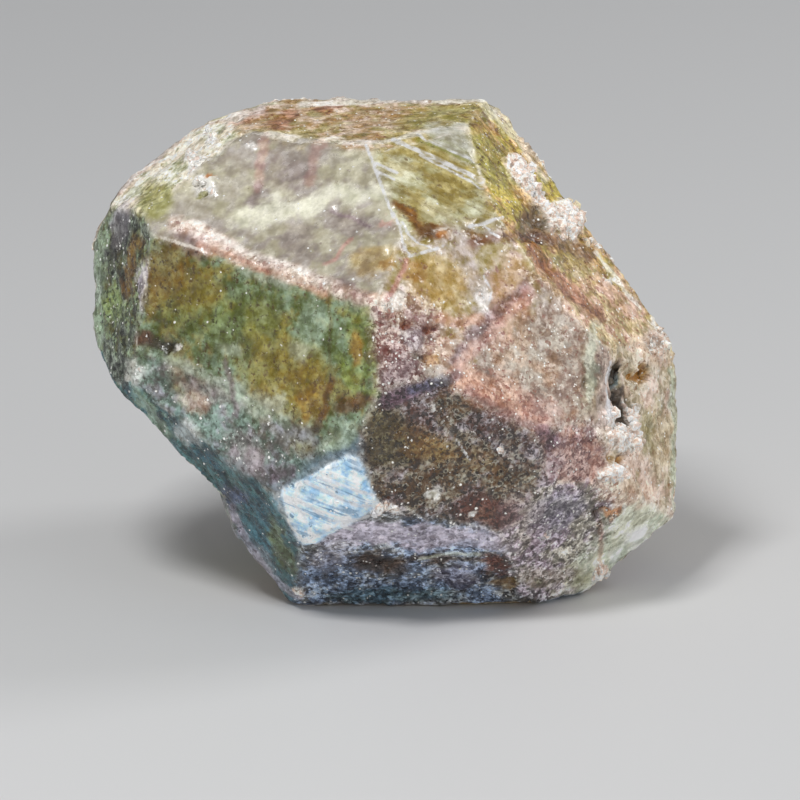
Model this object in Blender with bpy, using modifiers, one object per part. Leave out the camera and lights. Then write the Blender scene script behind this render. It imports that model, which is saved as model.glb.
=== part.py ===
"""Grossular garnet: one natural crystal, 28 mm across, standing on one of its own faces.

The crystal is a trapezohedron with smaller dodecahedron faces. Each face is a plane, given by its
Miller indices and by its distance from the crystal's centre. The indices are nearly whole numbers:
natural faces are vicinal, so some lean a degree or two off the ideal plane.
Units are metres, +Z is up, -Y is the front, and the origin is the bottom centre of the crystal.
"""
import bpy
import bmesh
from mathutils import Matrix, Vector

MM = 0.001

CRYSTAL_NAME = "garnet_crystal"
COLLECTION_NAME = "grossular_garnet"
CUTTER_COLLECTION_NAME = "cutters"

# The crystal stands on (-1 -1 2), so that (1 1 -2) is the flat top.
UP_INDICES = (1.0, 1.0, -2.0)
# The a axis leans towards the viewer. Four large trapezohedron faces meet around it.
FRONT_INDICES = (1.0, 0.0, 0.0)

# A cube larger than the crystal, which the faces are cut from.
ROUGH_BLOCK = 60.0 * MM
CUT_MERGE_DISTANCE = 1e-7

# The faces of the crystal: Miller indices, and distance from the centre in mm.
FACES = {
    "top": ((1.0, 1.0, -2.0), 10.95),
    "base": ((-1.0, -1.0, 2.0), 10.95),
    "upper_left": ((2.0, 1.2, -0.8), 10.6),
    "left_shoulder": ((1.0, 2.0, -1.0), 12.9),
    "striated_upper": ((1.0, 0.0, -1.0), 10.45),
    "right_slope": ((1.0, -1.0, -2.0), 9.9),
    "right_slope_lower": ((1.05, -1.15, -1.9), 10.05),
    "amber_window": ((2.1, -0.8, -1.1), 10.3),
    "front_right": ((2.0, -1.0, -0.9), 10.4),
    "worn_apex": ((1.0, -0.1, 0.1), 12.0),
    "green_window": ((2.0, 1.05, 1.0), 10.3),
    "left_flank": ((1.0, 2.0, 1.0), 12.75),
    "rough_corner": ((1.3, 0.7, 0.9), 10.5),
    "foot_front": ((0.85, 0.85, 2.15), 11.0),
    "teal_bevel": ((2.95, 0.85, 2.15), 11.1),
    "mirror_face": ((1.0, 0.0, 1.0), 11.4),
    "brown_front": ((2.0, -1.0, 1.0), 11.3),
    "lower_front": ((1.1, -1.0, 2.0), 11.25),
    "right_flank": ((1.0, -2.0, -1.0), 11.75),
    "right_bevel": ((1.5, -1.5, -1.0), 11.35),
    "right_corner": ((1.0, -1.05, 0.0), 12.35),
    "lower_right": ((1.2, -1.85, 1.05), 12.5),
    "pale_corner": ((1.15, -3.0, 1.1), 13.45),
    "under_right": ((0.0, -1.0, 1.0), 13.9),
    "right_rim": ((0.0, -1.0, -1.0), 12.95),
    "left_rim": ((0.0, 1.0, 0.0), 14.9),
    "left_under_rim": ((0.0, 1.0, 1.0), 13.15),
    "top_rim": ((0.0, 1.0, -1.0), 13.15),
    "back_top": ((-1.0, 1.0, -2.0), 11.3),
    "back_top_right": ((-1.0, -1.0, -2.0), 10.75),
    "back_top_left": ((-1.0, 2.0, -1.0), 12.9),
    "back_upper": ((-1.0, 0.0, -1.0), 12.2),
    "back_left": ((-2.0, 1.0, -1.0), 12.4),
    "back_right": ((-2.0, -1.0, -1.0), 12.1),
    "back_lower_left": ((-2.0, 1.0, 1.0), 12.3),
    "back_lower_right": ((-2.0, -1.0, 1.0), 12.0),
    "back_lower": ((-1.0, 0.0, 1.0), 12.3),
    "back_right_flank": ((-1.0, -2.0, -1.0), 13.5),
    "back_under_right": ((-1.0, -2.0, 1.0), 13.9),
    "back_left_flank": ((-1.0, 2.0, 1.0), 12.9),
    "foot_back": ((-1.0, 1.0, 2.0), 9.95),
}

# A shallow re-entrant step at the lower left: the crystal is cut away beyond both of these faces.
STEP_FACES = {
    "above_step": ((-1.0, 0.65, 2.0), 8.5),
    "below_step": ((0.0, 1.0, 1.0), 9.7),
}

# Pits eaten into the right flank: centre from the crystal's centre, and half sizes, in mm.
PITS = {
    "cavity_upper": ((10.9, -4.55, 0.35), (0.45, 0.9, 0.75)),
    "cavity_lower": ((11.0, -4.9, -1.2), (0.5, 1.0, 0.95)),
    "pit_right": ((12.35, -1.4, -0.85), (0.4, 0.45, 0.35)),
    "pit_low": ((10.95, -6.15, -3.5), (0.4, 0.4, 0.35)),
}
PIT_SEGMENTS = 16
PIT_RINGS = 10

# Natural edges are slightly worn.
EDGE_WEAR = 0.12 * MM
EDGE_WEAR_ANGLE = 0.12

CRYSTAL_COLOUR = (0.42, 0.36, 0.20, 1.0)
CRYSTAL_ROUGHNESS = 0.4
CRYSTAL_IOR = 1.73


def clear_scene():
    for item in list(bpy.data.objects):
        bpy.data.objects.remove(item, do_unlink=True)


def new_collection(name):
    collection = bpy.data.collections.new(name)
    bpy.context.scene.collection.children.link(collection)
    return collection


def crystal_to_world():
    """Rotation that stands the crystal on its base with the a axis towards the viewer."""
    up = Vector(UP_INDICES).normalized()
    a_axis = Vector(FRONT_INDICES)
    front = (a_axis - up * a_axis.dot(up)).normalized()
    right = up.cross(front)
    return Matrix((right, -front, up))


def garnet_material():
    material = bpy.data.materials.new("garnet")
    material.use_nodes = True
    shader = material.node_tree.nodes["Principled BSDF"]
    shader.inputs["Base Color"].default_value = CRYSTAL_COLOUR
    shader.inputs["Roughness"].default_value = CRYSTAL_ROUGHNESS
    shader.inputs["Metallic"].default_value = 0.0
    shader.inputs["IOR"].default_value = CRYSTAL_IOR
    return material


def cut_to_face(block, rotation, indices, distance_mm, keep_outside):
    """Cut away one side of a face's plane, and close the cut."""
    normal = (rotation @ Vector(indices)).normalized()
    geometry = block.verts[:] + block.edges[:] + block.faces[:]
    cut = bmesh.ops.bisect_plane(
        block, geom=geometry, plane_co=normal * (distance_mm * MM), plane_no=normal,
        clear_outer=not keep_outside, clear_inner=keep_outside, dist=CUT_MERGE_DISTANCE)
    rim = [item for item in cut["geom_cut"] if isinstance(item, bmesh.types.BMEdge)]
    if rim:
        bmesh.ops.contextual_create(block, geom=rim)


def faceted_block(name, faces, keep_outside, collection):
    """A convex block cut from a cube by planes: what lies inside them all, or outside them all."""
    block = bmesh.new()
    bmesh.ops.create_cube(block, size=ROUGH_BLOCK)
    rotation = crystal_to_world()
    for indices, distance_mm in faces.values():
        cut_to_face(block, rotation, indices, distance_mm, keep_outside)
    bmesh.ops.recalc_face_normals(block, faces=block.faces)
    mesh = bpy.data.meshes.new(name)
    block.to_mesh(mesh)
    block.free()
    item = bpy.data.objects.new(name, mesh)
    collection.objects.link(item)
    return item


def pit_cutter(name, centre_mm, half_sizes_mm, collection):
    """An ellipsoid that hollows out one pit."""
    shape = bmesh.new()
    bmesh.ops.create_uvsphere(shape, u_segments=PIT_SEGMENTS, v_segments=PIT_RINGS, radius=1.0)
    size = Matrix.Diagonal(Vector(half_sizes_mm) * MM).to_4x4()
    place = Matrix.Translation(Vector(centre_mm) * MM)
    bmesh.ops.transform(shape, matrix=place @ size, verts=shape.verts)
    mesh = bpy.data.meshes.new(name)
    shape.to_mesh(mesh)
    shape.free()
    item = bpy.data.objects.new(name, mesh)
    collection.objects.link(item)
    return item


def hide_cutter(item):
    item.hide_render = True
    item.display_type = "WIRE"


def cut_away(item, cutter):
    modifier = item.modifiers.new(cutter.name, "BOOLEAN")
    modifier.operation = "DIFFERENCE"
    modifier.solver = "EXACT"
    modifier.object = cutter


def wear_edges(item):
    bevel = item.modifiers.new("worn_edges", "BEVEL")
    bevel.width = EDGE_WEAR
    bevel.segments = 2
    bevel.limit_method = "ANGLE"
    bevel.angle_limit = EDGE_WEAR_ANGLE


def apply_modifiers(item):
    """Make the evaluated mesh the object's own."""
    graph = bpy.context.evaluated_depsgraph_get()
    mesh = bpy.data.meshes.new_from_object(item.evaluated_get(graph))
    item.modifiers.clear()
    item.data = mesh


def seat_on_origin(item):
    """Move the mesh so that the bottom centre of its box is the origin."""
    xs, ys, zs = zip(*(vertex.co for vertex in item.data.vertices))
    middle = Vector(((min(xs) + max(xs)) / 2, (min(ys) + max(ys)) / 2, min(zs)))
    item.data.transform(Matrix.Translation(-middle))


def garnet_crystal(collection, cutters):
    crystal = faceted_block(CRYSTAL_NAME, FACES, False, collection)
    step = faceted_block("step_cutter", STEP_FACES, True, cutters)
    hide_cutter(step)
    cut_away(crystal, step)
    wear_edges(crystal)
    for name, (centre_mm, half_sizes_mm) in PITS.items():
        cutter = pit_cutter(name, centre_mm, half_sizes_mm, cutters)
        hide_cutter(cutter)
        cut_away(crystal, cutter)
    apply_modifiers(crystal)
    seat_on_origin(crystal)
    crystal.data.materials.clear()
    crystal.data.materials.append(garnet_material())
    return crystal


def main():
    clear_scene()
    parts = new_collection(COLLECTION_NAME)
    cutters = new_collection(CUTTER_COLLECTION_NAME)
    garnet_crystal(parts, cutters)


main()
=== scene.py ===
import math
from collections import namedtuple

import bmesh
import bpy
import numpy as np
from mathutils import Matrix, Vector

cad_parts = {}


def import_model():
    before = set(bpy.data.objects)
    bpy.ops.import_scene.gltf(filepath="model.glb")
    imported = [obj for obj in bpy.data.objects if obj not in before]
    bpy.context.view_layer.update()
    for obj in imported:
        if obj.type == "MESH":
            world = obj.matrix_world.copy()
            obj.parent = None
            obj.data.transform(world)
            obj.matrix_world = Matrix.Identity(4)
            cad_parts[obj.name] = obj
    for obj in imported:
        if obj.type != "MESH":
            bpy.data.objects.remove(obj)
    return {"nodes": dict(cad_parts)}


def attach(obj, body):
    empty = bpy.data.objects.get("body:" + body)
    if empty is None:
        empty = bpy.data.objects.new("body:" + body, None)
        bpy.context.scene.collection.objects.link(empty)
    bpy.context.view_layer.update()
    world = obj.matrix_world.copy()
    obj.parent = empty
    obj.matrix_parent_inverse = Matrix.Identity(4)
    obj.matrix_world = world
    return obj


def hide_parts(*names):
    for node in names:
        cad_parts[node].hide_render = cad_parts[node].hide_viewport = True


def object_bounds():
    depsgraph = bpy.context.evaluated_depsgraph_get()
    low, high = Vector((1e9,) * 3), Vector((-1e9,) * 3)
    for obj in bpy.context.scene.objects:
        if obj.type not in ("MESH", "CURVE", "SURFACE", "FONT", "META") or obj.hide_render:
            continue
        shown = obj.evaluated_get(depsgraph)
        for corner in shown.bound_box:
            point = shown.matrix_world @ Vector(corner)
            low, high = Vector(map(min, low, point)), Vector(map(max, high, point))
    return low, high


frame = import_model()
cad_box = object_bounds()

# The garnet's visual model. Its body is a copy of the CAD crystal with a fine, even mesh. Every point of it
# is moved by the relief and gets the values that the material reads. Small grains of crust stand on it.
# Points on the crystal are in mm from its centre. Lengths are in mm too, unless the comment says px or the
# factor MM stands beside them.

MM = 0.001
NODE = "garnet_crystal"

# The crystal's own frame, as in the CAD. It stands on (-1 -1 2) and its a axis leans to the viewer.
UP_INDICES = (1, 1, -2)
FRONT_INDICES = (1, 0, 0)
CENTRE_MM = (0.114, -0.853, 10.951)

# Each face: Miller indices and distance from the crystal's centre in mm.
FACES = {
    "top": ((1, 1, -2), 10.95),
    "base": ((-1, -1, 2), 10.95),
    "upper_left": ((2, 1.2, -0.8), 10.6),
    "left_shoulder": ((1, 2, -1), 12.9),
    "striated_upper": ((1, 0, -1), 10.45),
    "right_slope": ((1, -1, -2), 9.9),
    "right_slope_lower": ((1.05, -1.15, -1.9), 10.05),
    "amber_window": ((2.1, -0.8, -1.1), 10.3),
    "front_right": ((2, -1, -0.9), 10.4),
    "worn_apex": ((1, -0.1, 0.1), 12.0),
    "green_window": ((2, 1.05, 1), 10.3),
    "left_flank": ((1, 2, 1), 12.75),
    "rough_corner": ((1.3, 0.7, 0.9), 10.5),
    "foot_front": ((0.85, 0.85, 2.15), 11.0),
    "teal_bevel": ((2.95, 0.85, 2.15), 11.1),
    "mirror_face": ((1, 0, 1), 11.4),
    "brown_front": ((2, -1, 1), 11.3),
    "lower_front": ((1.1, -1, 2), 11.25),
    "right_flank": ((1, -2, -1), 11.75),
    "right_bevel": ((1.5, -1.5, -1), 11.35),
    "right_corner": ((1, -1.05, 0), 12.35),
    "lower_right": ((1.2, -1.85, 1.05), 12.5),
    "pale_corner": ((1.15, -3, 1.1), 13.45),
    "under_right": ((0, -1, 1), 13.9),
    "right_rim": ((0, -1, -1), 12.95),
    "left_rim": ((0, 1, 0), 14.9),
    "left_under_rim": ((0, 1, 1), 13.15),
    "top_rim": ((0, 1, -1), 13.15),
    "back_top": ((-1, 1, -2), 11.3),
    "back_top_right": ((-1, -1, -2), 10.75),
    "back_top_left": ((-1, 2, -1), 12.9),
    "back_upper": ((-1, 0, -1), 12.2),
    "back_left": ((-2, 1, -1), 12.4),
    "back_right": ((-2, -1, -1), 12.1),
    "back_lower_left": ((-2, 1, 1), 12.3),
    "back_lower_right": ((-2, -1, 1), 12.0),
    "back_lower": ((-1, 0, 1), 12.3),
    "back_right_flank": ((-1, -2, -1), 13.5),
    "back_under_right": ((-1, -2, 1), 13.9),
    "back_left_flank": ((-1, 2, 1), 12.9),
    "foot_back": ((-1, 1, 2), 9.95),
}

# The re-entrant step at the lower left, cut away beyond both of these faces.
STEP_FACES = {
    "above_step": ((-1, 0.65, 2), 8.5),
    "below_step": ((0, 1, 1), 9.7),
}

# Pits in the right flank: centre from the crystal's centre, and half sizes, in mm.
PITS = {
    "cavity_upper": ((10.9, -4.55, 0.35), (0.45, 0.9, 0.75)),
    "cavity_lower": ((11.0, -4.9, -1.2), (0.5, 1.0, 0.95)),
    "pit_right": ((12.35, -1.4, -0.85), (0.4, 0.45, 0.35)),
    "pit_low": ((10.95, -6.15, -3.5), (0.4, 0.4, 0.35)),
}

FACE_NAMES = [*FACES, *STEP_FACES]

# The photo's view: level from the front and 17 degrees down, with this scale and frame centre.
VIEW_ELEVATION = math.radians(17.0)
IMAGE_SIDE_PX = 800
PX_PER_MM = 21.07
CENTRE_PX = (388.0, 352.0)
VIEW_RIGHT = np.array((1.0, 0.0, 0.0))
VIEW_UP = np.array((0.0, math.sin(VIEW_ELEVATION), math.cos(VIEW_ELEVATION)))
TO_VIEWER = np.array((0.0, -math.cos(VIEW_ELEVATION), math.sin(VIEW_ELEVATION)))


def unit(vector):
    vector = np.asarray(vector, float)
    return vector / np.linalg.norm(vector)


def crystal_to_world():
    """Rotation that stands the crystal on its base with the a axis towards the viewer."""
    up = unit(UP_INDICES)
    a_axis = np.array(FRONT_INDICES, float)
    front = unit(a_axis - up * (a_axis @ up))
    return np.array((np.cross(up, front), -front, up))


TO_WORLD = crystal_to_world()


def face_planes(faces):
    """The outward normals of faces, and their distances from the crystal's centre in mm."""
    normals = np.array([TO_WORLD @ unit(indices) for indices, _ in faces.values()])
    return normals, np.array([distance for _, distance in faces.values()])


NORMALS, DISTANCES = face_planes(FACES)
STEP_NORMALS, STEP_DISTANCES = face_planes(STEP_FACES)
ALL_NORMALS = np.vstack((NORMALS, STEP_NORMALS))

# Noise

HASH_FACTORS = (374761393, 668265263, 1442695041)
HASH_SEED = 1274126177
HASH_MIX = np.uint64(2246822519)
HASH_MASK = 0xFFFFFFFF
HASH_SHIFTS = (15, 13)
LAST_HASH_SHIFT = 16
OCTAVE_TURN = np.array(((0.0, 0.8, 0.6), (-0.8, 0.36, -0.48), (-0.6, -0.48, 0.64)))
OCTAVE_SCALE = 2.03
OCTAVE_SHIFT = 7.3
NOISE_RANGE = 1.4
FAR_CELL = 9.0
VALUE_SEED_SHIFT = 5

# Noises by name: their largest features in mm, seed, octaves, and how strongly each finer octave shows.
CLOUDS = {
    "softness": (2.5, 31, 2, 0.5),
    "pit_sway": (0.9, 33, 3, 0.6),
    "warp": (0.9, 11, 4, 0.6),
    "ragged": (0.9, 21, 5, 0.68),
    "mottle": (1.5, 26, 5, 0.7),
    "speckle": (0.5, 27, 3, 0.7),
    "rough": (1.1, 41, 4, 0.6),
    "chips": (0.9, 91, 3, 0.5),
    "pit_walls": (0.4, 97, 3, 0.6),
    "lumps": (0.8, 95, 4, 0.6),
    "crusted_edges": (2.6, 440, 4, 0.6),
}


def cell_value(cells, seed):
    """A repeatable random value from 0 to 1 for each whole-number cell."""
    mixed = sum(cells[..., axis] * HASH_FACTORS[axis] for axis in range(3)) + seed * HASH_SEED
    mixed = (mixed & HASH_MASK).astype(np.uint64)
    for shift in HASH_SHIFTS:
        mixed = ((mixed ^ (mixed >> np.uint64(shift))) * HASH_MIX) & np.uint64(HASH_MASK)
    return (mixed ^ (mixed >> np.uint64(LAST_HASH_SHIFT))) / HASH_MASK


def value_noise(points, seed):
    cells = np.floor(points).astype(np.int64)
    part = smooth_step(points - cells, 0.0, 1.0)
    total = np.zeros(len(points))
    for corner in np.ndindex(2, 2, 2):
        weight = np.prod(np.where(corner, part, 1.0 - part), axis=1)
        total += weight * cell_value(cells + np.array(corner), seed)
    return total


def noise(points, size, seed, octaves, gain):
    """Cloudy noise, mostly within -1 to 1. Its largest features are size mm across."""
    total = np.zeros(len(points))
    weight, reach = 1.0, 0.0
    turned = points / size
    for octave in range(octaves):
        total += weight * (2.0 * value_noise(turned, seed + octave) - 1.0)
        reach += weight * weight
        weight *= gain
        turned = turned @ OCTAVE_TURN * OCTAVE_SCALE + OCTAVE_SHIFT
    return total / math.sqrt(reach) * NOISE_RANGE


def cloud(points, name, shift=0):
    size, seed, octaves, gain = CLOUDS[name]
    return noise(points, size, seed + shift, octaves, gain)


def clouds(points, name, count):
    """Several independent noises side by side."""
    return np.stack([cloud(points, name, shift) for shift in range(count)], axis=1)


def scattered(points, size, seed):
    """Distance to the nearest of points scattered one to a cell, and a random value for that one."""
    at = points / size
    cells = np.floor(at).astype(np.int64)
    nearest = np.full(len(points), FAR_CELL)
    value = np.zeros(len(points))
    for corner in np.ndindex(3, 3, 3):
        cell = cells + np.array(corner) - 1
        spot = cell + np.stack([cell_value(cell, seed + axis) for axis in range(3)], axis=1)
        gap = np.linalg.norm(at - spot, axis=1)
        closer = gap < nearest
        value = np.where(closer, cell_value(cell, seed + VALUE_SEED_SHIFT), value)
        nearest = np.where(closer, gap, nearest)
    return nearest * size, value


def smooth_step(value, low, high):
    part = np.clip((value - low) / (high - low), 0.0, 1.0)
    return part * part * (3.0 - 2.0 * part)


# The crystal's shape

COARSE_VOXEL = 0.268 * MM
# How far a face of the mesh has to turn to the viewer to be divided.
SEEN_LIMIT = 0.02
MOST_CORNERS = 4
# How softly the crystal's faces meet, in mm: the usual value, its mean and noisy range as shares of it,
# and the least value.
EDGE_SOFTNESS = 0.075
SOFTNESS_MEAN = 1.1
SOFTNESS_RANGE = 0.7
LEAST_SOFTNESS = 0.03
SETTLING_STEPS = 3
PIT_MARGIN = 0.1
PIT_SWAY = 0.32
PIT_SWAY_REACH = (0.1, 0.7)


def plane_gaps(points):
    return points @ NORMALS.T - DISTANCES


def step_gaps(points):
    return points @ STEP_NORMALS.T - STEP_DISTANCES


def body_gap(points, softness):
    """How far points are outside the crystal without its pits, with its outward direction there."""
    gaps = plane_gaps(points)
    highest = gaps.max(axis=1)
    weights = np.exp((gaps - highest[:, None]) / softness[:, None])
    total = weights.sum(axis=1)
    gap = highest + softness * np.log(total)
    out = weights @ NORMALS / total[:, None]
    step = step_gaps(points)
    lower = np.argmin(step, axis=1)
    step_gap = step[np.arange(len(points)), lower]
    inside_step = step_gap > gap
    gap = np.where(inside_step, step_gap, gap)
    out = np.where(inside_step[:, None], STEP_NORMALS[lower], out)
    return gap, out / np.linalg.norm(out, axis=1)[:, None]


def pit_gap(points):
    """How far points are outside the nearest pit, roughly."""
    gaps = []
    for centre, half in PITS.values():
        reach = np.linalg.norm((points - centre) / half, axis=1)
        gaps.append((reach - 1.0) * min(half))
    return np.min(gaps, axis=0)


def apply_modifiers(item):
    graph = bpy.context.evaluated_depsgraph_get()
    mesh = bpy.data.meshes.new_from_object(item.evaluated_get(graph))
    item.modifiers.clear()
    item.data = mesh


def even_mesh(item):
    """Remesh to even faces, and divide the ones that the photo's view shows."""
    remesh = item.modifiers.new("even", "REMESH")
    remesh.mode = "VOXEL"
    remesh.voxel_size = COARSE_VOXEL
    apply_modifiers(item)
    shape = bmesh.new()
    shape.from_mesh(item.data)
    shape.normal_update()
    viewer = Vector(TO_VIEWER)
    seen = [face for face in shape.faces if face.normal.dot(viewer) > SEEN_LIMIT]
    edges = {edge for face in seen for edge in face.edges}
    bmesh.ops.subdivide_edges(shape, edges=list(edges), cuts=1, use_grid_fill=True)
    bmesh.ops.triangulate(shape, faces=[face for face in shape.faces if len(face.verts) > MOST_CORNERS])
    shape.to_mesh(item.data)
    shape.free()


def read_points(mesh):
    """The mesh's points, in mm from the crystal's centre."""
    flat = np.empty(len(mesh.vertices) * 3)
    mesh.vertices.foreach_get("co", flat)
    return flat.reshape(-1, 3) / MM - CENTRE_MM


def write_points(mesh, points):
    """Set the mesh's points, none of them outside the CAD model's box."""
    low, high = (np.array(corner) for corner in cad_box)
    flat = np.clip((points + CENTRE_MM) * MM, low, high)
    mesh.vertices.foreach_set("co", flat.ravel())
    mesh.update()


def settled(points, softness):
    """The points moved onto the soft-edged crystal, except in its pits, and its outward direction there."""
    for _ in range(SETTLING_STEPS):
        gap, out = body_gap(points, softness)
        in_pit = pit_gap(points) < PIT_MARGIN
        points = points - out * np.where(in_pit, 0.0, gap)[:, None]
    return points, out


def swayed_pits(points, out):
    """The points around the pits moved along the surface, so that the pits aren't round."""
    near_pit = 1.0 - smooth_step(pit_gap(points), *PIT_SWAY_REACH)
    sway = clouds(points, "pit_sway", 3)
    sway -= out * np.sum(sway * out, axis=1)[:, None]
    return points + PIT_SWAY * sway * near_pit[:, None]


# Colours and looks


def albedo(hex_colour):
    """Linear colour from six hex digits, by the formula of sRGB."""
    parts = np.array([int(hex_colour[at:at + 2], 16) for at in (0, 2, 4)]) / 255.0
    return np.where(parts <= 0.04045, parts / 12.92, ((parts + 0.055) / 1.055) ** 2.4)


# What a look sets: body is the colour of the crystal itself, skin that of its frosting, which covers the
# share frost, and spot that of its stains, which cover the share dark. glint is the share of painted
# glints, bright specks that stand in for light caught by the grain.
# Two colours in one text are a mottling of the two.
COLOUR_CHANNELS = ("body", "skin", "spot")
LOOK_CHANNELS = (*COLOUR_CHANNELS, "frost", "dark", "glint", "rings", "gloss", "clear", "mirror", "crust",
                 "grain", "worn")
STREAK_CHANNELS = ("streak", "lined", "stripe")
ALL_CHANNELS = LOOK_CHANNELS + STREAK_CHANNELS


def look(body, skin, spot=None, **channels):
    colours = {"body": body, "skin": skin, "spot": spot}
    return {**{key: value for key, value in colours.items() if value}, **channels}


PLAIN_LOOK = look("8c7c58", "b8ac98", "3a2c20", frost=0.5, dark=0.25, glint=0.3, rings=0.0, gloss=0.2,
                  clear=0.0, mirror=0.0, crust=0.0, grain=0.5, worn=0.0)


FACE_LOOKS = {
    "top": look("9c8a40 a88854", "c8bc98 ccbcb0", "7c5024", frost=0.42, dark=0.35, gloss=0.35, glint=0.4),
    "upper_left": look("b8aca0 bcb49c", "c6bfb8 cec9b6", "a49488", frost=0.42, gloss=0.85, clear=0.25,
                       dark=0.08, grain=0.05, glint=0.12),
    "left_shoulder": look("a4a47c b4ac98", "d8d8cc dcd0c4", "8c8458", frost=0.6, gloss=0.4, glint=0.6,
                          dark=0.3),
    "striated_upper": look("94823c 9c9464", "bcb07c c8c8b0", "6c5424", frost=0.4, gloss=0.75, clear=0.2,
                           grain=0.15, dark=0.25, glint=0.1),
    "right_slope": look("a09020 a07c24", "c8b858 d4b480", "602c0c", frost=0.38, dark=0.45, gloss=0.4,
                        glint=0.45),
    "right_slope_lower": look("a08c58 a48068", "d0c0a0 d4bcb0", "8c5034", frost=0.5, dark=0.4, gloss=0.3,
                              glint=0.6),
    "amber_window": look("a89650 ae9c84", "ccc2ac d0c6c4", "94686c", frost=0.42, gloss=0.7, clear=0.2,
                         grain=0.2, dark=0.25, glint=0.2),
    "front_right": look("b0845f a88c7c", "d0b49f c4b9ac", "9c6048", frost=0.5, grain=0.6, dark=0.35,
                        glint=0.6),
    "worn_apex": look("a4867a 987c7a", "d6c6be cebcba", "7c3428", frost=0.5, grain=1.0, dark=0.55,
                      glint=0.8),
    "green_window": look("687428 86701c", "9cb094 a8a86c", "604c0c", frost=0.47, gloss=0.6, clear=0.1,
                         grain=0.3, dark=0.4, glint=0.1),
    "left_flank": look("303824 605820", "a8b0a4 94a88c", "0c1008", frost=0.42, gloss=0.5, glint=0.5,
                       dark=0.6),
    "rough_corner": look("607062 686664", "90a69c 9c9ca4", "4c463c", frost=0.5, grain=0.55, dark=0.33,
                         glint=0.5),
    "foot_front": look("2e6474 3a6c63", "6ca8ba 84b8bc", "142430", frost=0.42, gloss=0.45, glint=0.3,
                       dark=0.3),
    "teal_bevel": look("607e86", "92a7b5", "3c505c", frost=0.5, gloss=0.5, dark=0.3),
    "mirror_face": look("7c94a8", "a8bccc", frost=0.5, gloss=0.6, grain=0.3),
    "brown_front": look("6c4a14 5c3420", "b4b0a0 b8b0b4", "1c0e04", frost=0.33, gloss=0.4, grain=0.75,
                        dark=0.6, glint=0.24, rings=0.9),
    "lower_front": look("485466 524e42", "a4b4cc a8acb0", "181820", frost=0.46, gloss=0.35, grain=0.75,
                        dark=0.6, glint=0.55),
    "right_flank": look("b2a07a ba9c86", "dcd2c2 e0cec2", "90683c", frost=0.52, gloss=0.4, grain=0.5,
                        glint=0.7, dark=0.3),
    "right_bevel": look("9c8060 94784c", "c0a486 bca886", "7c5844", frost=0.45, grain=0.6, dark=0.35,
                        glint=0.4),
    "right_corner": look("a87868 8c6868", "c8aca0 b8a8a8", "5c2c2c", frost=0.45, grain=0.9, dark=0.5,
                         glint=0.6, rings=0.25),
    "lower_right": look("807a6c 806e78", "c8c2b8 c4bac4", "302824", frost=0.48, grain=0.9, glint=0.7,
                        dark=0.55, rings=0.3),
    "pale_corner": look("8c9480 9c9c88", "d0dacc c8cabc", "5c5840", frost=0.42, gloss=0.8, clear=0.2,
                        grain=0.2, dark=0.25, glint=0.15),
}

# How much lighter or darker each face stands, as in the photo. This is painted light and shade: each face's
# colours are scaled by how the light falls on it.
FACE_PAINTED_LIGHT_TONES = {
    "left_shoulder": 1.35, "upper_left": 0.87, "striated_upper": 1.1, "amber_window": 0.97,
    "worn_apex": 0.72, "front_right": 0.8, "green_window": 0.77, "rough_corner": 1.02, "top": 1.05,
    "right_flank": 1.02, "right_slope": 1.1, "teal_bevel": 0.77, "brown_front": 0.88, "lower_front": 1.4,
    "lower_right": 1.3, "pale_corner": 1.65, "foot_front": 0.5, "right_bevel": 0.61,
    "right_slope_lower": 1.22, "right_corner": 1.08,
}

# The faces that the photo doesn't show look like these neighbours.
BACK_FACE_LOOKS = {
    "base": "lower_front", "under_right": "lower_right", "right_rim": "right_slope",
    "left_rim": "left_flank", "left_under_rim": "rough_corner", "top_rim": "left_shoulder",
    "back_top": "upper_left",
    "back_top_right": "right_slope", "back_top_left": "left_shoulder", "back_upper": "amber_window",
    "back_left": "green_window", "back_right": "front_right", "back_lower_left": "rough_corner",
    "back_lower_right": "brown_front", "back_lower": "foot_front", "back_right_flank": "right_flank",
    "back_under_right": "lower_right", "back_left_flank": "green_window", "foot_back": "lower_front",
    "above_step": "foot_front", "below_step": "rough_corner",
}

OLIVE = look("8c8834", "acac70", "5c5020", frost=0.35)
OLIVE_DARK = look("4c4418", "787040", "241c08", frost=0.3)
AMBER = look("a8741c", "c09c50", "7c4c10", frost=0.25)
HONEY = look("b49444", "d0bc84", "94682c", frost=0.3, gloss=0.7, grain=0.15)
DARK_AMBER = look("764e0c", "9c7028", "462806", frost=0.2)
GOLD = look("8c7418", "a89848", "6c500c", frost=0.3)
BAND = look("cca890 b48c86", "f4e8dc e8d2ca", "94584c", frost=0.52, grain=0.65, gloss=0.25, dark=0.35,
            glint=0.9, clear=0.0, crust=0.2)
BROWN_GOLD = look("7c5814", "94804c", "40280c", frost=0.3)
GREEN = look("606420", "88945c", "343c10", frost=0.35)
LEAF_GREEN = look("74802c", "a4b46c", "44581c", frost=0.4)
MINT = look("8c9c80", "b8c8b4", "6c7c58", frost=0.6, dark=0.15)
TEAL = look("345860", "6894a2", "22343a", frost=0.5)
WHITE = look("d8d4cc", "f4f2ee", frost=0.85, glint=0.8, dark=0.0, crust=0.55)
PALE = {**WHITE, "crust": 0.0, "glint": 0.4}
VEIL = look("dcdcc4", "f0eedc", "c4c0a0", frost=0.6, dark=0.1, grain=0.1, clear=0.1)
MILKY = look("c4c0a0", "e0dcc4", frost=0.6, dark=0.0, grain=0.1)
CREAM = look("dccabc", "fcf6f0", "ac846c", frost=0.6, dark=0.2, crust=1.0, clear=0.0, gloss=0.05, glint=0.6,
             grain=0.8)
WHITE_CRUST = {**CREAM, **look("e8dcd0", "fffcf8", "c4a484", grain=0.5)}
PEACH = look("c49c80", "e8d4c0", "a06440", frost=0.55, dark=0.35, clear=0.0)
PINK = look("b47c78", "d8b0a8", "8c4444", frost=0.45, clear=0.0)
SALMON = look("b87c60", "d8ac94", "90442c", frost=0.45, clear=0.0, dark=0.45)
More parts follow.
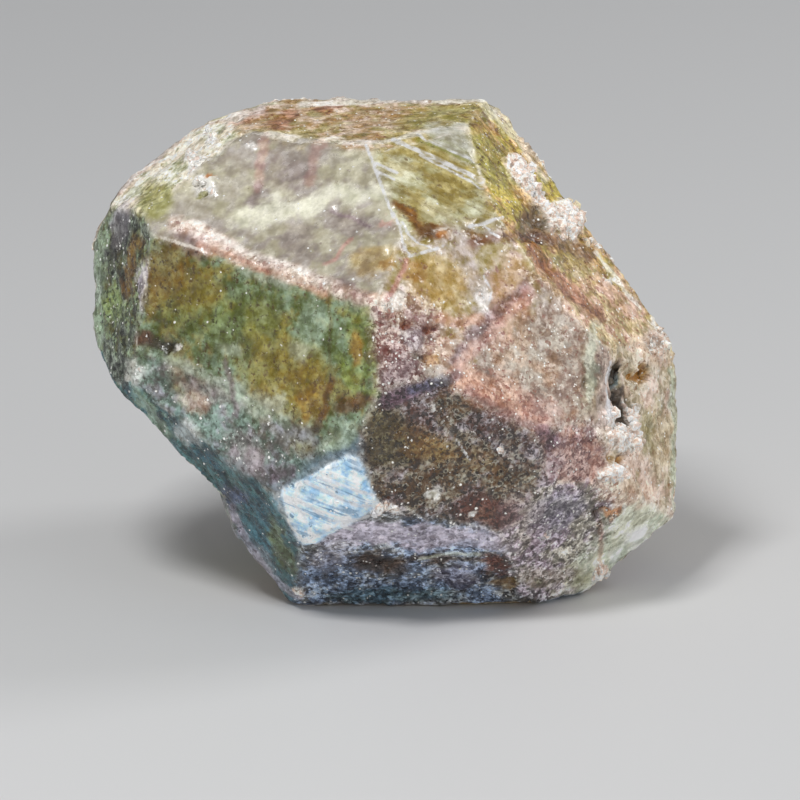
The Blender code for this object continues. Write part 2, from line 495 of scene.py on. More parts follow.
WORN = look("9a6a5a 865e5e", "e2d6ca d6c4be", "742c20", frost=0.48, grain=1.0, dark=0.55, glint=0.9,
            clear=0.0, gloss=0.3)
LILAC = look("7c788c", "aca8b8", "50485c", frost=0.5, clear=0.0)
PALE_LILAC = look("a49ca8", "d0c8d4", "6c6068", frost=0.6, dark=0.3)
MAUVE = look("907c80", "b8a8a8", "5c4448", frost=0.45)
PURPLE = look("543444", "8c7080", "2c1820", frost=0.35, clear=0.0)
RUST = look("84401c", "ac7048", "4c1c0c", frost=0.35, dark=0.45, clear=0.0)
RED = look("8c3428", "b46c5c", "5c1c14", frost=0.35, clear=0.0)
ORANGE = look("c07428", "d8a468", frost=0.35)
BROWN = look("40280c", "6c5440", "201004", frost=0.3, clear=0.0)
RED_BROWN = look("5c2408", "7c5038", "2c1004", frost=0.25, clear=0.0)
BLACK = look("18140c", "38302c", "0c0a08", frost=0.25, clear=0.0)
INK = look("24283c", "68708c", "101018", frost=0.35, clear=0.0, glint=0.6)
BLUE = look("2c3c54", "6c809c", "141c2c", frost=0.35, clear=0.0)
# Painted silvery highlight.
PAINTED_SILVER_SHEEN = look("b8b8b0", "e0e0dc", "b8b8b0", frost=0.7, gloss=0.8, mirror=0.2, dark=0.0, grain=0.1,
              clear=0.0)
# Painted grey sheen.
PAINTED_GREY_SHEEN = look("a09c84", "c4c4bc", frost=0.6, gloss=0.8, dark=0.0, grain=0.1)
# Painted reflection: the mirror face's bright, bluish white shine.
PAINTED_REFLECTION = look("98c8ec b8dcf8", "f0faff fafdff", "4c7490", frost=0.5, dark=0.22, gloss=0.75, mirror=0.05,
              grain=0.25, glint=0.8, rings=0.0)
# Dark brown deep in the pits: partly their own colour, partly painted shade.
PIT_BROWN_AND_SHADE = look("3c2810 4c3c20", "6c5838 6c7468", "140c04", frost=0.3, dark=0.5, gloss=0.3, crust=0.0,
              clear=0.0, glint=0.15)
# Painted glare: a white highlight.
PAINTED_GLARE = look("f0f8f4", "ffffff", "d8e4dc", frost=0.5, dark=0.0, gloss=0.8, grain=0.0, glint=0.0, mirror=0.0)
FILM = look("a0a490", "c8ccbc", "84846c", frost=0.6, dark=0.15, glint=0.2)
WORN_EDGE = look("b4a898", "e0dad0", frost=0.7, glint=0.6)
GLASS_GREY = look("9c9088", "b4aaa0", "8c8078", frost=0.4, gloss=0.9, grain=0.08, dark=0.05)

# Patches by their place in the photo: look, middle in px, half sizes in px, turn towards down right in
# degrees, and strength.
PATCHES = {
    "top_olive": (OLIVE, (440, 118), (50, 12), -4, 0.5),
    "top_rust_left": (RUST, (283, 120), (18, 9), -35, 0.6),
    "top_rust_mid": (RUST, (331, 107), (17, 5), -10, 0.7),
    "shoulder_pale": (MILKY, (215, 190), (45, 30), -20, 0.3),
    "shoulder_olive": (OLIVE, (154, 201), (20, 22), 0, 0.8),
    "shoulder_white_low": (WHITE, (193, 162), (9, 11), 0, 0.9),
    "shoulder_white_mid": (WHITE, (211, 140), (9, 9), 0, 0.95),
    "shoulder_white_high": (WHITE, (252, 146), (9, 5), -10, 0.6),
    "shoulder_white_left": (WHITE, (160, 175), (12, 6), -40, 0.4),
    "shoulder_pit_rim": (WHITE, (206, 187), (14, 12), 0, 0.85),
    "shoulder_pit_core": (OLIVE, (202, 193), (6, 6), 0, 0.75),
    "shoulder_spot": (ORANGE, (211, 176), (5, 3), 0, 0.8),
    "upper_mauve": (MAUVE, (290, 175), (32, 20), 10, 0.3),
    "upper_cloud": (VEIL, (272, 213), (44, 13), -10, 0.7),
    "upper_streaks": (GLASS_GREY, (300, 238), (18, 13), -25, 0.7),
    "upper_grey": (GLASS_GREY, (347, 222), (17, 13), 0, 0.8),
    "upper_tan": (HONEY, (376, 260), (26, 14), -10, 0.55),
    "upper_yellow": (AMBER, (386, 266), (9, 6), 0, 0.5),
    "upper_pink_spot": (PINK, (387, 225), (9, 5), 0, 0.5),
    "upper_pale": (MILKY, (345, 165), (22, 16), 0, 0.35),
    "band_left": (PURPLE, (192, 243), (20, 13), 20, 0.6),
    # A painted highlight on the striated face.
    "shine_triangle": (PAINTED_GREY_SHEEN, (452, 140), (30, 14), 38, 0.75),
    "striated_milky_left": (MILKY, (398, 168), (18, 14), 40, 0.5),
    "striated_milky_low": (MILKY, (440, 210), (19, 13), 20, 0.5),
    "striated_amber_left": (DARK_AMBER, (407, 215), (20, 8), 38, 1.0),
    "striated_amber_low": (DARK_AMBER, (434, 233), (20, 8), 24, 1.0),
    "striated_amber_core": (ORANGE, (441, 237), (6, 5), 0, 0.6),
    "striated_amber_right": (DARK_AMBER, (478, 234), (13, 7), 0, 0.8),
    "slope_olive": (OLIVE, (493, 160), (18, 38), -35, 0.55),
    "slope_brown": (BROWN, (534, 222), (16, 19), -45, 0.75),
    "slope_lump": (WHITE_CRUST, (563, 221), (15, 22), -38, 1.0),
    "slope_tail": (CREAM, (592, 244), (9, 6), 40, 0.7),
    "slope_low_spot": (WHITE, (610, 278), (5, 4), 0, 0.8),
    "slope_low_olive": (OLIVE, (575, 262), (22, 14), 45, 0.45),
    "slope_corner": (CREAM, (658, 340), (14, 20), -20, 0.5),
    "slope_nub": (WHITE, (660, 319), (7, 5), 0, 0.8),
    "amber_gold": (HONEY, (437, 285), (32, 30), 0, 0.75),
    "amber_left": (AMBER, (412, 271), (13, 11), 0, 0.6),
    "amber_pink": (SALMON, (510, 285), (22, 32), 0, 0.36),
    "amber_white": (WHITE, (484, 299), (9, 18), -15, 0.55),
    "apex_rough": (WORN, (405, 335), (38, 46), -10, 0.75),
    "apex_peach": (PEACH, (443, 345), (10, 18), 0, 0.6),
    "apex_lilac": (LILAC, (414, 340), (13, 16), -20, 0.45),
    "apex_top": (PEACH, (385, 300), (22, 9), 15, 0.6),
    "apex_rust_left": (RUST, (410, 323), (6, 5), 0, 0.8),
    "apex_rust_right": (RUST, (428, 327), (6, 5), 0, 0.7),
    "apex_rust_low": (BROWN, (422, 358), (8, 6), 0, 0.8),
    "apex_orange": (AMBER, (433, 362), (6, 7), 0, 0.5),
    "apex_red": (RED, (392, 312), (6, 5), 0, 0.6),
    "apex_low": (MAUVE, (400, 372), (24, 14), -15, 0.6),
    "window_brown_left": (BROWN_GOLD, (165, 275), (26, 40), 20, 0.6),
    # A pale film over the window's upper left: partly its own film, partly a painted reflection.
    "window_film_and_sheen_high": (FILM, (268, 268), (38, 15), 25, 0.62),
    "window_green_mid": (GREEN, (235, 320), (30, 34), 10, 0.5),
    "window_mint": (MINT, (312, 318), (13, 34), 0, 0.6),
    "window_mint_right": (MINT, (350, 300), (22, 10), 15, 0.5),
    "window_green": (LEAF_GREEN, (358, 345), (15, 42), 0, 0.4),
    "window_orange": (AMBER, (354, 349), (9, 18), 0, 0.6),
    "window_rust_corner": (RED_BROWN, (353, 405), (20, 10), -20, 0.6),
    "window_red": (BROWN, (150, 340), (15, 9), 10, 0.75),
    "window_red_core": (RED_BROWN, (145, 338), (8, 6), 0, 0.5),
    "window_black": (BLACK, (166, 348), (9, 8), 0, 0.85),
    "window_glint": (WHITE, (174, 348), (3, 3), 0, 0.9),
    "window_amber": (GOLD, (285, 375), (46, 40), 30, 0.6),
    "window_green_left": (GREEN, (190, 315), (34, 24), 20, 0.5),
    "window_amber_low": (AMBER, (314, 404), (18, 22), 10, 0.4),
    "window_fade": (FILM, (245, 400), (44, 13), 28, 0.45),
    "flank_white": (PALE_LILAC, (119, 222), (8, 26), 15, 0.6),
    "flank_dark": (BLACK, (116, 246), (9, 32), 12, 0.6),
    "flank_brown": (BROWN_GOLD, (131, 268), (7, 32), 6, 0.85),
    "flank_rim": (PALE_LILAC, (143, 286), (4, 26), 4, 0.75),
    "flank_green": (LEAF_GREEN, (113, 303), (11, 17), 0, 0.45),
    "flank_mint": (MINT, (98, 290), (7, 60), 0, 0.5),
    "corner_mint": (MINT, (150, 412), (8, 34), -38, 0.65),
    "corner_mauve": (MAUVE, (200, 385), (40, 14), 30, 0.4),
    "corner_cream": (PEACH, (192, 404), (14, 12), 0, 0.4),
    "corner_low": (MAUVE, (245, 455), (22, 26), -45, 0.45),
    "corner_dark": (PURPLE, (283, 473), (12, 10), -30, 0.5),
    "corner_sheen": (MINT, (335, 440), (22, 12), -35, 0.7),
    "foot_blue": (INK, (231, 498), (14, 14), 30, 0.85),
    "foot_pale": (TEAL, (256, 540), (12, 34), -25, 0.6),
    "foot_moss": (OLIVE, (281, 548), (9, 32), -25, 0.4),
    "foot_mauve": (MAUVE, (262, 560), (8, 22), -30, 0.35),
    "foot_edge": (PALE_LILAC, (236, 523), (5, 12), -20, 0.5),
    "foot_cream": (CREAM, (296, 590), (8, 4), 20, 0.8),
    "brown_dark": (OLIVE_DARK, (390, 440), (24, 34), 0, 0.7),
    "brown_amber": (BROWN_GOLD, (430, 450), (28, 15), 10, 0.85),
    "brown_amber_right": (BROWN_GOLD, (478, 462), (22, 10), 10, 0.5),
    "brown_red": (RED_BROWN, (487, 512), (34, 17), 10, 0.85),
    "brown_lilac": (LILAC, (520, 450), (38, 18), 30, 0.15),
    "brown_grey_spot": (PALE, (432, 497), (9, 9), 0, 0.75),
    "brown_grey_core": (OLIVE_DARK, (432, 497), (4, 4), 0, 0.6),
    "brown_dot_high": (WHITE, (435, 409), (4, 3), 0, 0.9),
    "brown_dot_mid": (WHITE, (447, 420), (4, 3), 0, 0.9),
    "brown_dot_low": (WHITE, (470, 516), (4, 3), 0, 0.9),
    "brown_dot_right": (WHITE, (497, 452), (3, 3), 0, 0.9),
    "brown_dot_far": (WHITE, (544, 534), (4, 3), 0, 0.9),
    "lower_pale": (PALE_LILAC, (400, 536), (100, 13), 2, 0.9),
    "lower_pale_left": (PALE_LILAC, (335, 552), (32, 14), -30, 0.4),
    "lower_pale_right": (PALE_LILAC, (495, 543), (28, 9), 8, 0.7),
    "lower_brown_left": (BROWN, (378, 565), (30, 11), 0, 0.9),
    "lower_brown_mid": (BROWN, (430, 560), (26, 6), 0, 0.75),
    "lower_brown_right": (RED_BROWN, (494, 564), (19, 9), 0, 0.9),
    "lower_olive": (BROWN_GOLD, (503, 584), (16, 9), 0, 0.7),
    "lower_blue": (LILAC, (456, 577), (24, 10), 0, 0.6),
    "lower_blue_left": (BLUE, (330, 575), (36, 12), 0, 0.35),
    "lower_edge": (TEAL, (392, 596), (70, 9), 0, 0.6),
    "right_mint": (FILM, (593, 362), (7, 48), 4, 0.7),
    "right_grey": (FILM, (535, 350), (34, 36), 0, 0.12),
    "right_salmon": (SALMON, (490, 392), (48, 20), 26, 0.45),
    "corner_purple": (PURPLE, (549, 436), (18, 10), 30, 0.7),
    "corner_lilac": (LILAC, (556, 512), (34, 18), -25, 0.6),
    "corner_pink": (MAUVE, (572, 462), (24, 22), 0, 0.35),
    "low_olive": (OLIVE, (555, 578), (44, 12), 0, 0.3),
    "low_pink": (MAUVE, (520, 520), (24, 30), 0, 0.4),
    "flank_hollow_high": (TEAL, (619, 376), (8, 14), 0, 0.8),
    # Dark brown in the flank's cavity: partly its own colour, partly painted shade.
    "flank_hollow_low_brown_and_shade": (BROWN, (619, 405), (12, 18), 0, 0.95),
    "flank_pit_small_brown_and_shade": (BROWN, (630, 391), (6, 6), 0, 0.9),
    "flank_pit_amber": (AMBER, (647, 377), (9, 8), 0, 1.0),
    "flank_olive": (OLIVE, (660, 440), (18, 36), 0, 0.35),
    "flank_top": (PEACH, (650, 350), (24, 14), 30, 0.5),
    "flank_crust": (WHITE_CRUST, (625, 426), (18, 28), 0, 1.0),
    "flank_crust_low": (WHITE_CRUST, (614, 474), (14, 9), 10, 0.9),
    "flank_peach": (PEACH, (632, 494), (32, 13), 0, 0.6),
    "flank_pit_low": (AMBER, (619, 462), (9, 6), 0, 0.9),
    "lower_rust_left": (BROWN, (598, 511), (8, 7), 0, 0.85),
    "lower_rust_right": (ORANGE, (613, 513), (9, 8), 0, 0.75),
    # A painted highlight.
    "pale_glint_low": (PAINTED_SILVER_SHEEN, (615, 556), (9, 6), -40, 0.5),
    "pale_edge": (CREAM, (600, 574), (11, 8), -45, 0.9),
    # A painted highlight.
    "pale_shine": (PAINTED_SILVER_SHEEN, (636, 537), (19, 9), -38, 0.75),
    "band_mid": (PURPLE, (345, 285), (12, 8), 20, 0.45),
    "band_white": (WHITE, (200, 232), (22, 6), 28, 0.6),
    "window_olive": (OLIVE, (265, 325), (22, 26), 20, 0.5),
    "window_gold": (GOLD, (200, 290), (24, 22), 10, 0.6),
    "window_pale_low": (FILM, (272, 402), (12, 8), 10, 0.6),
    "window_pale_mid": (FILM, (300, 352), (9, 12), 0, 0.45),
    "window_pale_left": (FILM, (228, 352), (14, 10), 20, 0.45),
    "corner_white": (WHITE, (135, 372), (12, 14), -30, 0.55),
    "corner_white_low": (WHITE, (186, 432), (16, 10), 35, 0.45),
    "apex_white": (WHITE, (397, 300), (12, 8), 0, 0.55),
    "apex_white_mid": (WHITE, (438, 372), (10, 8), 0, 0.35),
    "foot_shine": (TEAL, (282, 575), (12, 14), -25, 0.4),
    "brown_orange": (BROWN_GOLD, (410, 432), (18, 12), 0, 0.5),
    "right_pink_low": (PINK, (540, 410), (26, 14), 20, 0.35),
    "right_tan": (SALMON, (500, 330), (16, 22), 0, 0.35),
}

# What is scattered over the faces that the photo doesn't show. Patches: look, size in mm, noise level that
# they start at, and strength. Veins: look, size in mm, half width as a noise level, and strength.
UNSEEN_PATCHES = {
    "honey": (HONEY, 5.0, 0.35, 0.7),
    "olive": (OLIVE, 4.0, 0.4, 0.6),
    "milky": (MILKY, 4.5, 0.45, 0.6),
    "leaf": (LEAF_GREEN, 3.5, 0.5, 0.5),
    "peach": (PEACH, 3.0, 0.5, 0.6),
    "mauve": (MAUVE, 3.5, 0.5, 0.5),
    "brown": (BROWN_GOLD, 2.5, 0.6, 0.8),
    "dark": (BROWN, 1.6, 0.85, 0.8),
    "white": (WHITE, 1.8, 0.8, 0.8),
}
UNSEEN_VEINS = {
    "rust": (RUST, 6.0, 0.07, 0.8),
    "pink": (PINK, 4.5, 0.08, 0.6),
    # Silvery veins of painted sheen.
    "silver": (PAINTED_SILVER_SHEEN, 5.0, 0.035, 0.7),
    "purple": (PURPLE, 7.0, 0.05, 0.6),
}

# Lines by their place in the photo: look, half width in px, points in px, and strength.
LINES = {
    "top_edge_white": (PALE, 2.5, ((300, 103), (360, 101), (490, 99)), 0.6),
    "top_low_edge": (PALE, 2.5, ((262, 134), (366, 142), (400, 137)), 0.5),
    "top_low_edge_right": (PALE, 2, ((400, 137), (465, 123)), 0.5),
    "top_corner": (PALE, 5, ((482, 101), (494, 114)), 0.5),
    "slope_edge": (PALE, 4, ((494, 106), (520, 142), (545, 178)), 0.45),
    "slope_left_edge": (PALE, 1.6, ((467, 122), (478, 165), (486, 186)), 0.4),
    "shoulder_rim": (PINK, 6, ((118, 188), (170, 140), (205, 120), (262, 110)), 0.45),
    "shoulder_rim_white": (PALE, 4, ((122, 186), (173, 137), (205, 119), (262, 108)), 0.5),
    "upper_vein": (PINK, 4.5, ((266, 138), (262, 160), (257, 185)), 0.38),
    "upper_vein_low": (PURPLE, 5, ((259, 185), (252, 203)), 0.35),
    "upper_vein_right": (PINK, 5, ((321, 140), (316, 155), (309, 182)), 0.32),
    "upper_veil": (VEIL, 8, ((305, 213), (335, 190), (357, 197), (384, 189)), 0.68),
    "upper_dark": (MAUVE, 2.2, ((331, 211), (350, 215), (369, 225)), 0.8),
    "upper_red": (PINK, 2.0, ((352, 237), (344, 246), (336, 258), (325, 264)), 0.6),
    "upper_band": (BAND, 8, ((178, 224), (215, 240), (242, 255), (285, 268), (320, 284), (372, 300)), 0.68),
    "upper_band_white": (PALE, 3, ((215, 236), (242, 250), (285, 263), (330, 282)), 0.35),
    "upper_band_rust": (SALMON, 4, ((200, 246), (242, 261), (270, 271), (325, 294)), 0.5),
    "olive_stripe_high": (OLIVE, 2, ((418, 138), (450, 152), (475, 162)), 0.85),
    "olive_stripe_mid": (OLIVE, 1.6, ((430, 134), (455, 145), (472, 154)), 0.7),
    "window_edge": (PINK, 2.5, ((408, 260), (398, 280), (388, 299)), 0.7),
    "slope_crust": (WHITE_CRUST, 6, ((511, 161), (522, 180), (536, 198), (552, 214)), 1.0),
    "slope_rust": (RED_BROWN, 5, ((470, 243), (500, 237), (530, 235), (558, 240), (592, 256)), 0.65),
    "slope_low_rust": (RUST, 5, ((532, 246), (554, 270), (572, 292), (600, 318)), 0.7),
    "slope_low_white": (PALE, 2, ((596, 252), (615, 275), (640, 308)), 0.6),
    "amber_veins": (PURPLE, 5, ((527, 282), (515, 296), (496, 312), (470, 338), (453, 360)), 0.5),
    "amber_border": (PINK, 6, ((530, 290), (505, 318), (478, 345), (455, 372)), 0.38),
    "amber_low_edge": (SALMON, 5, ((438, 318), (462, 322), (480, 318)), 0.5),
    "apex_dark": (PURPLE, 6, ((385, 404), (405, 396), (425, 388)), 0.85),
    "apex_ink": (INK, 5, ((414, 391), (434, 384), (458, 376)), 0.7),
    "front_edge": (SALMON, 7, ((460, 378), (500, 402), (540, 425)), 0.3),
    "front_low_edge": (PURPLE, 5, ((470, 392), (510, 416), (556, 436)), 0.35),
    "window_crack": (OLIVE_DARK, 1.8, ((328, 286), (330, 330), (331, 380)), 0.5),
    "window_crack_low": (RED_BROWN, 4, ((331, 380), (326, 410), (315, 432)), 0.5),
    "window_rim": (LEAF_GREEN, 4, ((340, 357), (350, 385), (378, 397)), 0.6),
    "window_left_edge": (PALE, 1.5, ((141, 262), (144, 280), (146, 296)), 0.3),
    "foot_rim": (PALE_LILAC, 3.5, ((230, 508), (246, 545), (270, 578), (298, 598)), 0.6),
    "corner_border": (MINT, 5, ((141, 349), (180, 366), (219, 384), (284, 424)), 0.4),
    "corner_red": (PURPLE, 3, ((225, 362), (232, 392), (236, 417)), 0.5),
    "mirror_cream": (CREAM, 4, ((374, 512), (386, 507), (396, 512)), 0.8),
    "lower_thin": (FILM, 1.8, ((421, 561), (448, 554), (479, 556)), 0.6),
    "lower_thin_dark": (BROWN, 2, ((423, 567), (450, 561), (480, 562)), 0.6),
    "right_bevel_band": (MAUVE, 6, ((604, 350), (606, 385), (602, 424)), 0.4),
    "flank_right_rim": (MINT, 4, ((676, 370), (677, 440), (676, 510)), 0.6),
    "lower_red": (RUST, 2.2, ((600, 522), (602, 545), (597, 572)), 0.5),
}

# Crisp stripes: silvery painted highlights along the striations and the mirror face's scratches, and pale
# chip edges. Half width in px, and points in px.
STRIPES = {
    "silver": (2.3, ((393, 138), (440, 160), (484, 180))),
    "silver_twin": (1.3, ((420, 155), (455, 173), (484, 187))),
    "silver_high": (1.3, ((417, 134), (445, 148), (476, 160))),
    "silver_left": (1.4, ((375, 162), (398, 173))),
    "silver_left_low": (1.2, ((378, 171), (394, 179))),
    "upper_edge": (1.7, ((366, 145), (381, 184), (393, 217))),
    "chip_left": (1.5, ((393, 213), (403, 233), (410, 254))),
    "chip_low": (1.6, ((410, 256), (426, 252), (443, 247))),
    "chip_mid": (1.2, ((402, 222), (418, 240), (430, 248))),
    "chip_right": (1.6, ((470, 226), (486, 221), (503, 217))),
    "chip_right_low": (1.3, ((484, 222), (492, 232), (500, 237))),
    "mirror_high": (1.8, ((318, 478), (350, 488), (374, 496))),
    "mirror_mid": (2.0, ((305, 482), (345, 502), (378, 511))),
    "mirror_low": (1.7, ((298, 500), (330, 520), (352, 530))),
    "mirror_right": (1.6, ((341, 525), (369, 517))),
    "mirror_left": (1.3, ((288, 500), (304, 515), (312, 536))),
    "brown_scratch": (1.2, ((457, 440), (463, 450), (470, 461))),
    "honey_edge": (1.2, ((484, 276), (492, 290), (488, 308))),
    "flank_edge": (1.6, ((611, 362), (609, 385), (608, 424))),
}
STRIPE_REACH = 6.0
STRIPE_RAGGED_PX = 0.5

# Flat bright areas with crisp borders, all painted reflections and highlights: look, corners in px, and
# strength.
SHEETS = {
    "mirror": (PAINTED_REFLECTION, ((280, 490), (348, 455), (359, 458), (380, 506), (322, 541), (297, 547), (286, 514)),
               1.0),
    "mirror_high": (PAINTED_GREY_SHEEN, ((417, 133), (466, 121), (478, 168), (450, 150)), 0.6),
    "pale_glint": (PAINTED_GLARE, ((628, 543), (633, 534), (646, 526), (649, 529), (644, 537), (634, 543)), 1.0),
    "pale_glint_low": (PAINTED_GLARE, ((609, 563), (612, 555), (620, 549), (622, 552), (616, 561)), 0.5),
}

# Faces with long streaks: direction in the photo in degrees down right, spacing, length and depth in mm,
# and how strongly they are coloured.
STREAKS = {
    "striated_upper": (26.0, 0.5, 9.0, 0.018, 0.42),
    "mirror_face": (21.0, 0.42, 6.0, 0.035, 1.0),
    "top": (-4.0, 0.5, 4.0, 0.03, 0.45),
    "left_flank": (80.0, 0.6, 4.0, 0.05, 0.4),
    "left_shoulder": (-40.0, 0.5, 2.0, 0.03, 0.5),
    "foot_front": (52.0, 0.55, 3.0, 0.06, 0.4),
    "rough_corner": (35.0, 0.6, 2.0, 0.06, 0.15),
    "right_slope": (48.0, 0.5, 3.0, 0.04, 0.5),
    "right_slope_lower": (45.0, 0.5, 3.0, 0.04, 0.5),
    "lower_front": (4.0, 0.6, 2.5, 0.03, 0.12),
    "pale_corner": (-28.0, 0.5, 3.0, 0.02, 0.5),
    "back_upper": (20.0, 0.5, 8.0, 0.05, 0.7),
    "back_left": (60.0, 0.5, 4.0, 0.04, 0.4),
    "back_lower": (10.0, 0.5, 5.0, 0.05, 0.5),
    "back_top": (30.0, 0.6, 6.0, 0.03, 0.5),
}
STREAK_SWAY = 0.35
CRISP_STREAKS = ("striated_upper", "mirror_face")

# Dents and lumps by their place in the photo: middle in px, half sizes in px, turn in degrees, depth in mm.
DENTS = {
    "flank_hollow": ((627, 388), (13, 26), 8, 0.35),
    "flank_pocket": ((647, 377), (9, 8), 0, 0.4),
    "flank_low_pocket": ((619, 461), (9, 6), 0, 0.35),
    "flank_lump_high": ((618, 432), (9, 8), 0, -0.25),
    "flank_lump_low": ((633, 445), (8, 7), 0, -0.2),
    "flank_lump_small": ((613, 474), (8, 5), 0, -0.25),
    "rust_pit": ((601, 511), (8, 6), 0, 0.3),
    "apex_pit_left": ((410, 323), (7, 5), 0, 0.25),
    "apex_pit_right": ((429, 328), (6, 5), 0, 0.22),
    "apex_pit_low": ((423, 358), (9, 6), 0, 0.28),
    "shoulder_pit": ((203, 191), (9, 8), 0, 0.2),
    "shoulder_pit_rim": ((216, 183), (6, 6), 0, -0.15),
    "slope_lump": ((563, 219), (14, 18), -38, -0.35),
    "slope_lump_high": ((524, 182), (8, 16), -40, -0.2),
    "slope_dent": ((530, 226), (14, 14), 0, 0.25),
    "striated_chip": ((412, 240), (16, 10), 20, 0.22),
    "striated_chip_right": ((480, 232), (13, 7), 0, 0.18),
    "upper_chip": ((346, 220), (18, 14), 10, 0.12),
    "window_corner_pit": ((168, 345), (10, 8), 0, 0.25),
    "brown_ring_pit": ((432, 497), (7, 7), 0, 0.15),
    "lower_hollow": ((380, 566), (26, 7), 0, 0.18),
    "upper_ridge": ((300, 200), (36, 9), -14, -0.02),
    "upper_hollow": ((300, 240), (26, 14), -20, 0.035),
    "mirror_pit": ((366, 484), (4, 3), 0, 0.1),
}

# Faces with round corrosion pits: spacing and depth in mm, and the share of spots that hold a pit.
CORROSION = {
    "brown_front": (0.75, 0.11, 0.6),
    "mirror_face": (0.6, 0.05, 0.3),
    "lower_front": (0.7, 0.08, 0.4),
    "lower_right": (0.8, 0.08, 0.35),
    "right_corner": (0.7, 0.09, 0.45),
    "front_right": (0.6, 0.05, 0.4),
    "rough_corner": (0.6, 0.07, 0.4),
    "foot_front": (0.8, 0.08, 0.3),
    "worn_apex": (0.7, 0.12, 0.5),
    "right_flank": (0.9, 0.12, 0.4),
    "green_window": (0.8, 0.04, 0.3),
    "back_lower_right": (0.75, 0.11, 0.6),
    "back_right": (0.6, 0.06, 0.4),
    "back_right_flank": (0.9, 0.12, 0.4),
    "foot_back": (0.7, 0.08, 0.4),
    "back_lower_left": (0.6, 0.07, 0.4),
}

# How rough each face is, in mm from low to high.
ROUGHNESS_MM = {
    "upper_left": 0.02, "striated_upper": 0.02, "pale_corner": 0.03, "mirror_face": 0.015,
    "green_window": 0.035, "amber_window": 0.04, "worn_apex": 0.11, "right_flank": 0.12,
    "rough_corner": 0.08, "right_corner": 0.08, "front_right": 0.05,
}
USUAL_ROUGHNESS_MM = 0.055

# Painting

# How close to edge-on a face is when its direction in the photo no longer counts.
EDGE_ON = 0.05
# Borders between faces: softness and wander in mm, and how the wander turns from face to face, in radians.
BORDER_SOFTNESS = 0.075
BORDER_WANDER = 0.09
TURN_STEP = 2.4
WARP_MM = 0.14
# How far inside the step's planes the step begins, and a gap larger than any on the crystal, in mm.
STEP_MARGIN = 0.05
SURELY = 99.0
STEP_EDGE_MM = 2.0
LEAST_SHARPNESS = 0.1
LEAST_SHARE = 0.001
INNER_MARGIN = 0.35
# How ragged the borders of patches and flat areas are, in px, and for lines as a share of their width.
RAGGED_PX = 5.0
SHEET_RAGGED_PX = 1.2
LINE_RAGGEDNESS = 0.11
MOST_LINE_RAGGEDNESS = 0.5
FAR_PX = 1e9
# Ramps from none to all. What the photo shows is painted where the surface faces the viewer.
SEEN_RAMP = (-0.05, 0.08)
PATCH_RAMP = (0.65, 1.25)
LINE_RAMP = (0.5, 1.5)
SHEET_RAMP = (-1.0, 1.5)
HUE_RAMP = (-0.6, 0.6)
HUE_SPECKLE = 0.7
# Worn edges.
SHARP_EDGE = (0.15, 0.4)
WORN_STRENGTH = 0.35
WORN_RAMP = (0.06, 0.26)
WORN_SPECKLE = 0.12
WORN_BREAKS = (-0.5, 0.4)
CHIPPED_BREAKS = (-0.6, 0.5)
WORN_WIDTH = 0.3
GLOSSY = (0.35, 0.7)
DULL_WEAR = 0.62
# How much the tone and the frosting vary within a face, by fine and by ragged noise.
TONE_SPECKLE = 0.3
TONE_RAGGED = 0.18
TONE_LIMITS = (0.5, 1.5)
GLOSS_CALM = 0.7
SKIN_TONE = 0.5
FROST_RAGGED = 0.22
FROST_SPECKLE = 0.1
# The faces that the photo doesn't show. A noise has its number of octaves and their gain.
UNSEEN_PATCH_SEED = 200
UNSEEN_VEIN_SEED = 300
UNSEEN_BREAK_SEED = 400
UNSEEN_SEED_STEP = 10
UNSEEN_PATCH_NOISE = (5, 0.62)
UNSEEN_VEIN_NOISE = (3, 0.5)
UNSEEN_BREAK_NOISE = (2, 0.5)
UNSEEN_PATCH_SOFTNESS = 0.3
UNSEEN_BREAKS = (-0.3, 0.4)
UNSEEN_BREAK_SIZE = 2.5
VEIN_CORE = 0.4
CRUSTED_EDGE = (0.1, 0.9)
CRUSTED_RAMP = (0.15, 0.5)
CRUSTED_STRENGTH = 0.7


def photo_places(points):
    """Where points appear in the photo, in px."""
    across = CENTRE_PX[0] + PX_PER_MM * (points @ VIEW_RIGHT)
    down = CENTRE_PX[1] - PX_PER_MM * (points @ VIEW_UP)
    return np.stack((across, down), axis=1)


def photo_direction(normal, degrees):
    """The direction within a face that runs at this angle, down right, in the photo."""
    turn = math.radians(degrees)
    flat = VIEW_RIGHT * math.cos(turn) - VIEW_UP * math.sin(turn)
    depth = normal @ TO_VIEWER
    if abs(depth) < EDGE_ON:
        return unit(np.cross(normal, VIEW_UP))
    return unit(flat - TO_VIEWER * (normal @ flat) / depth)


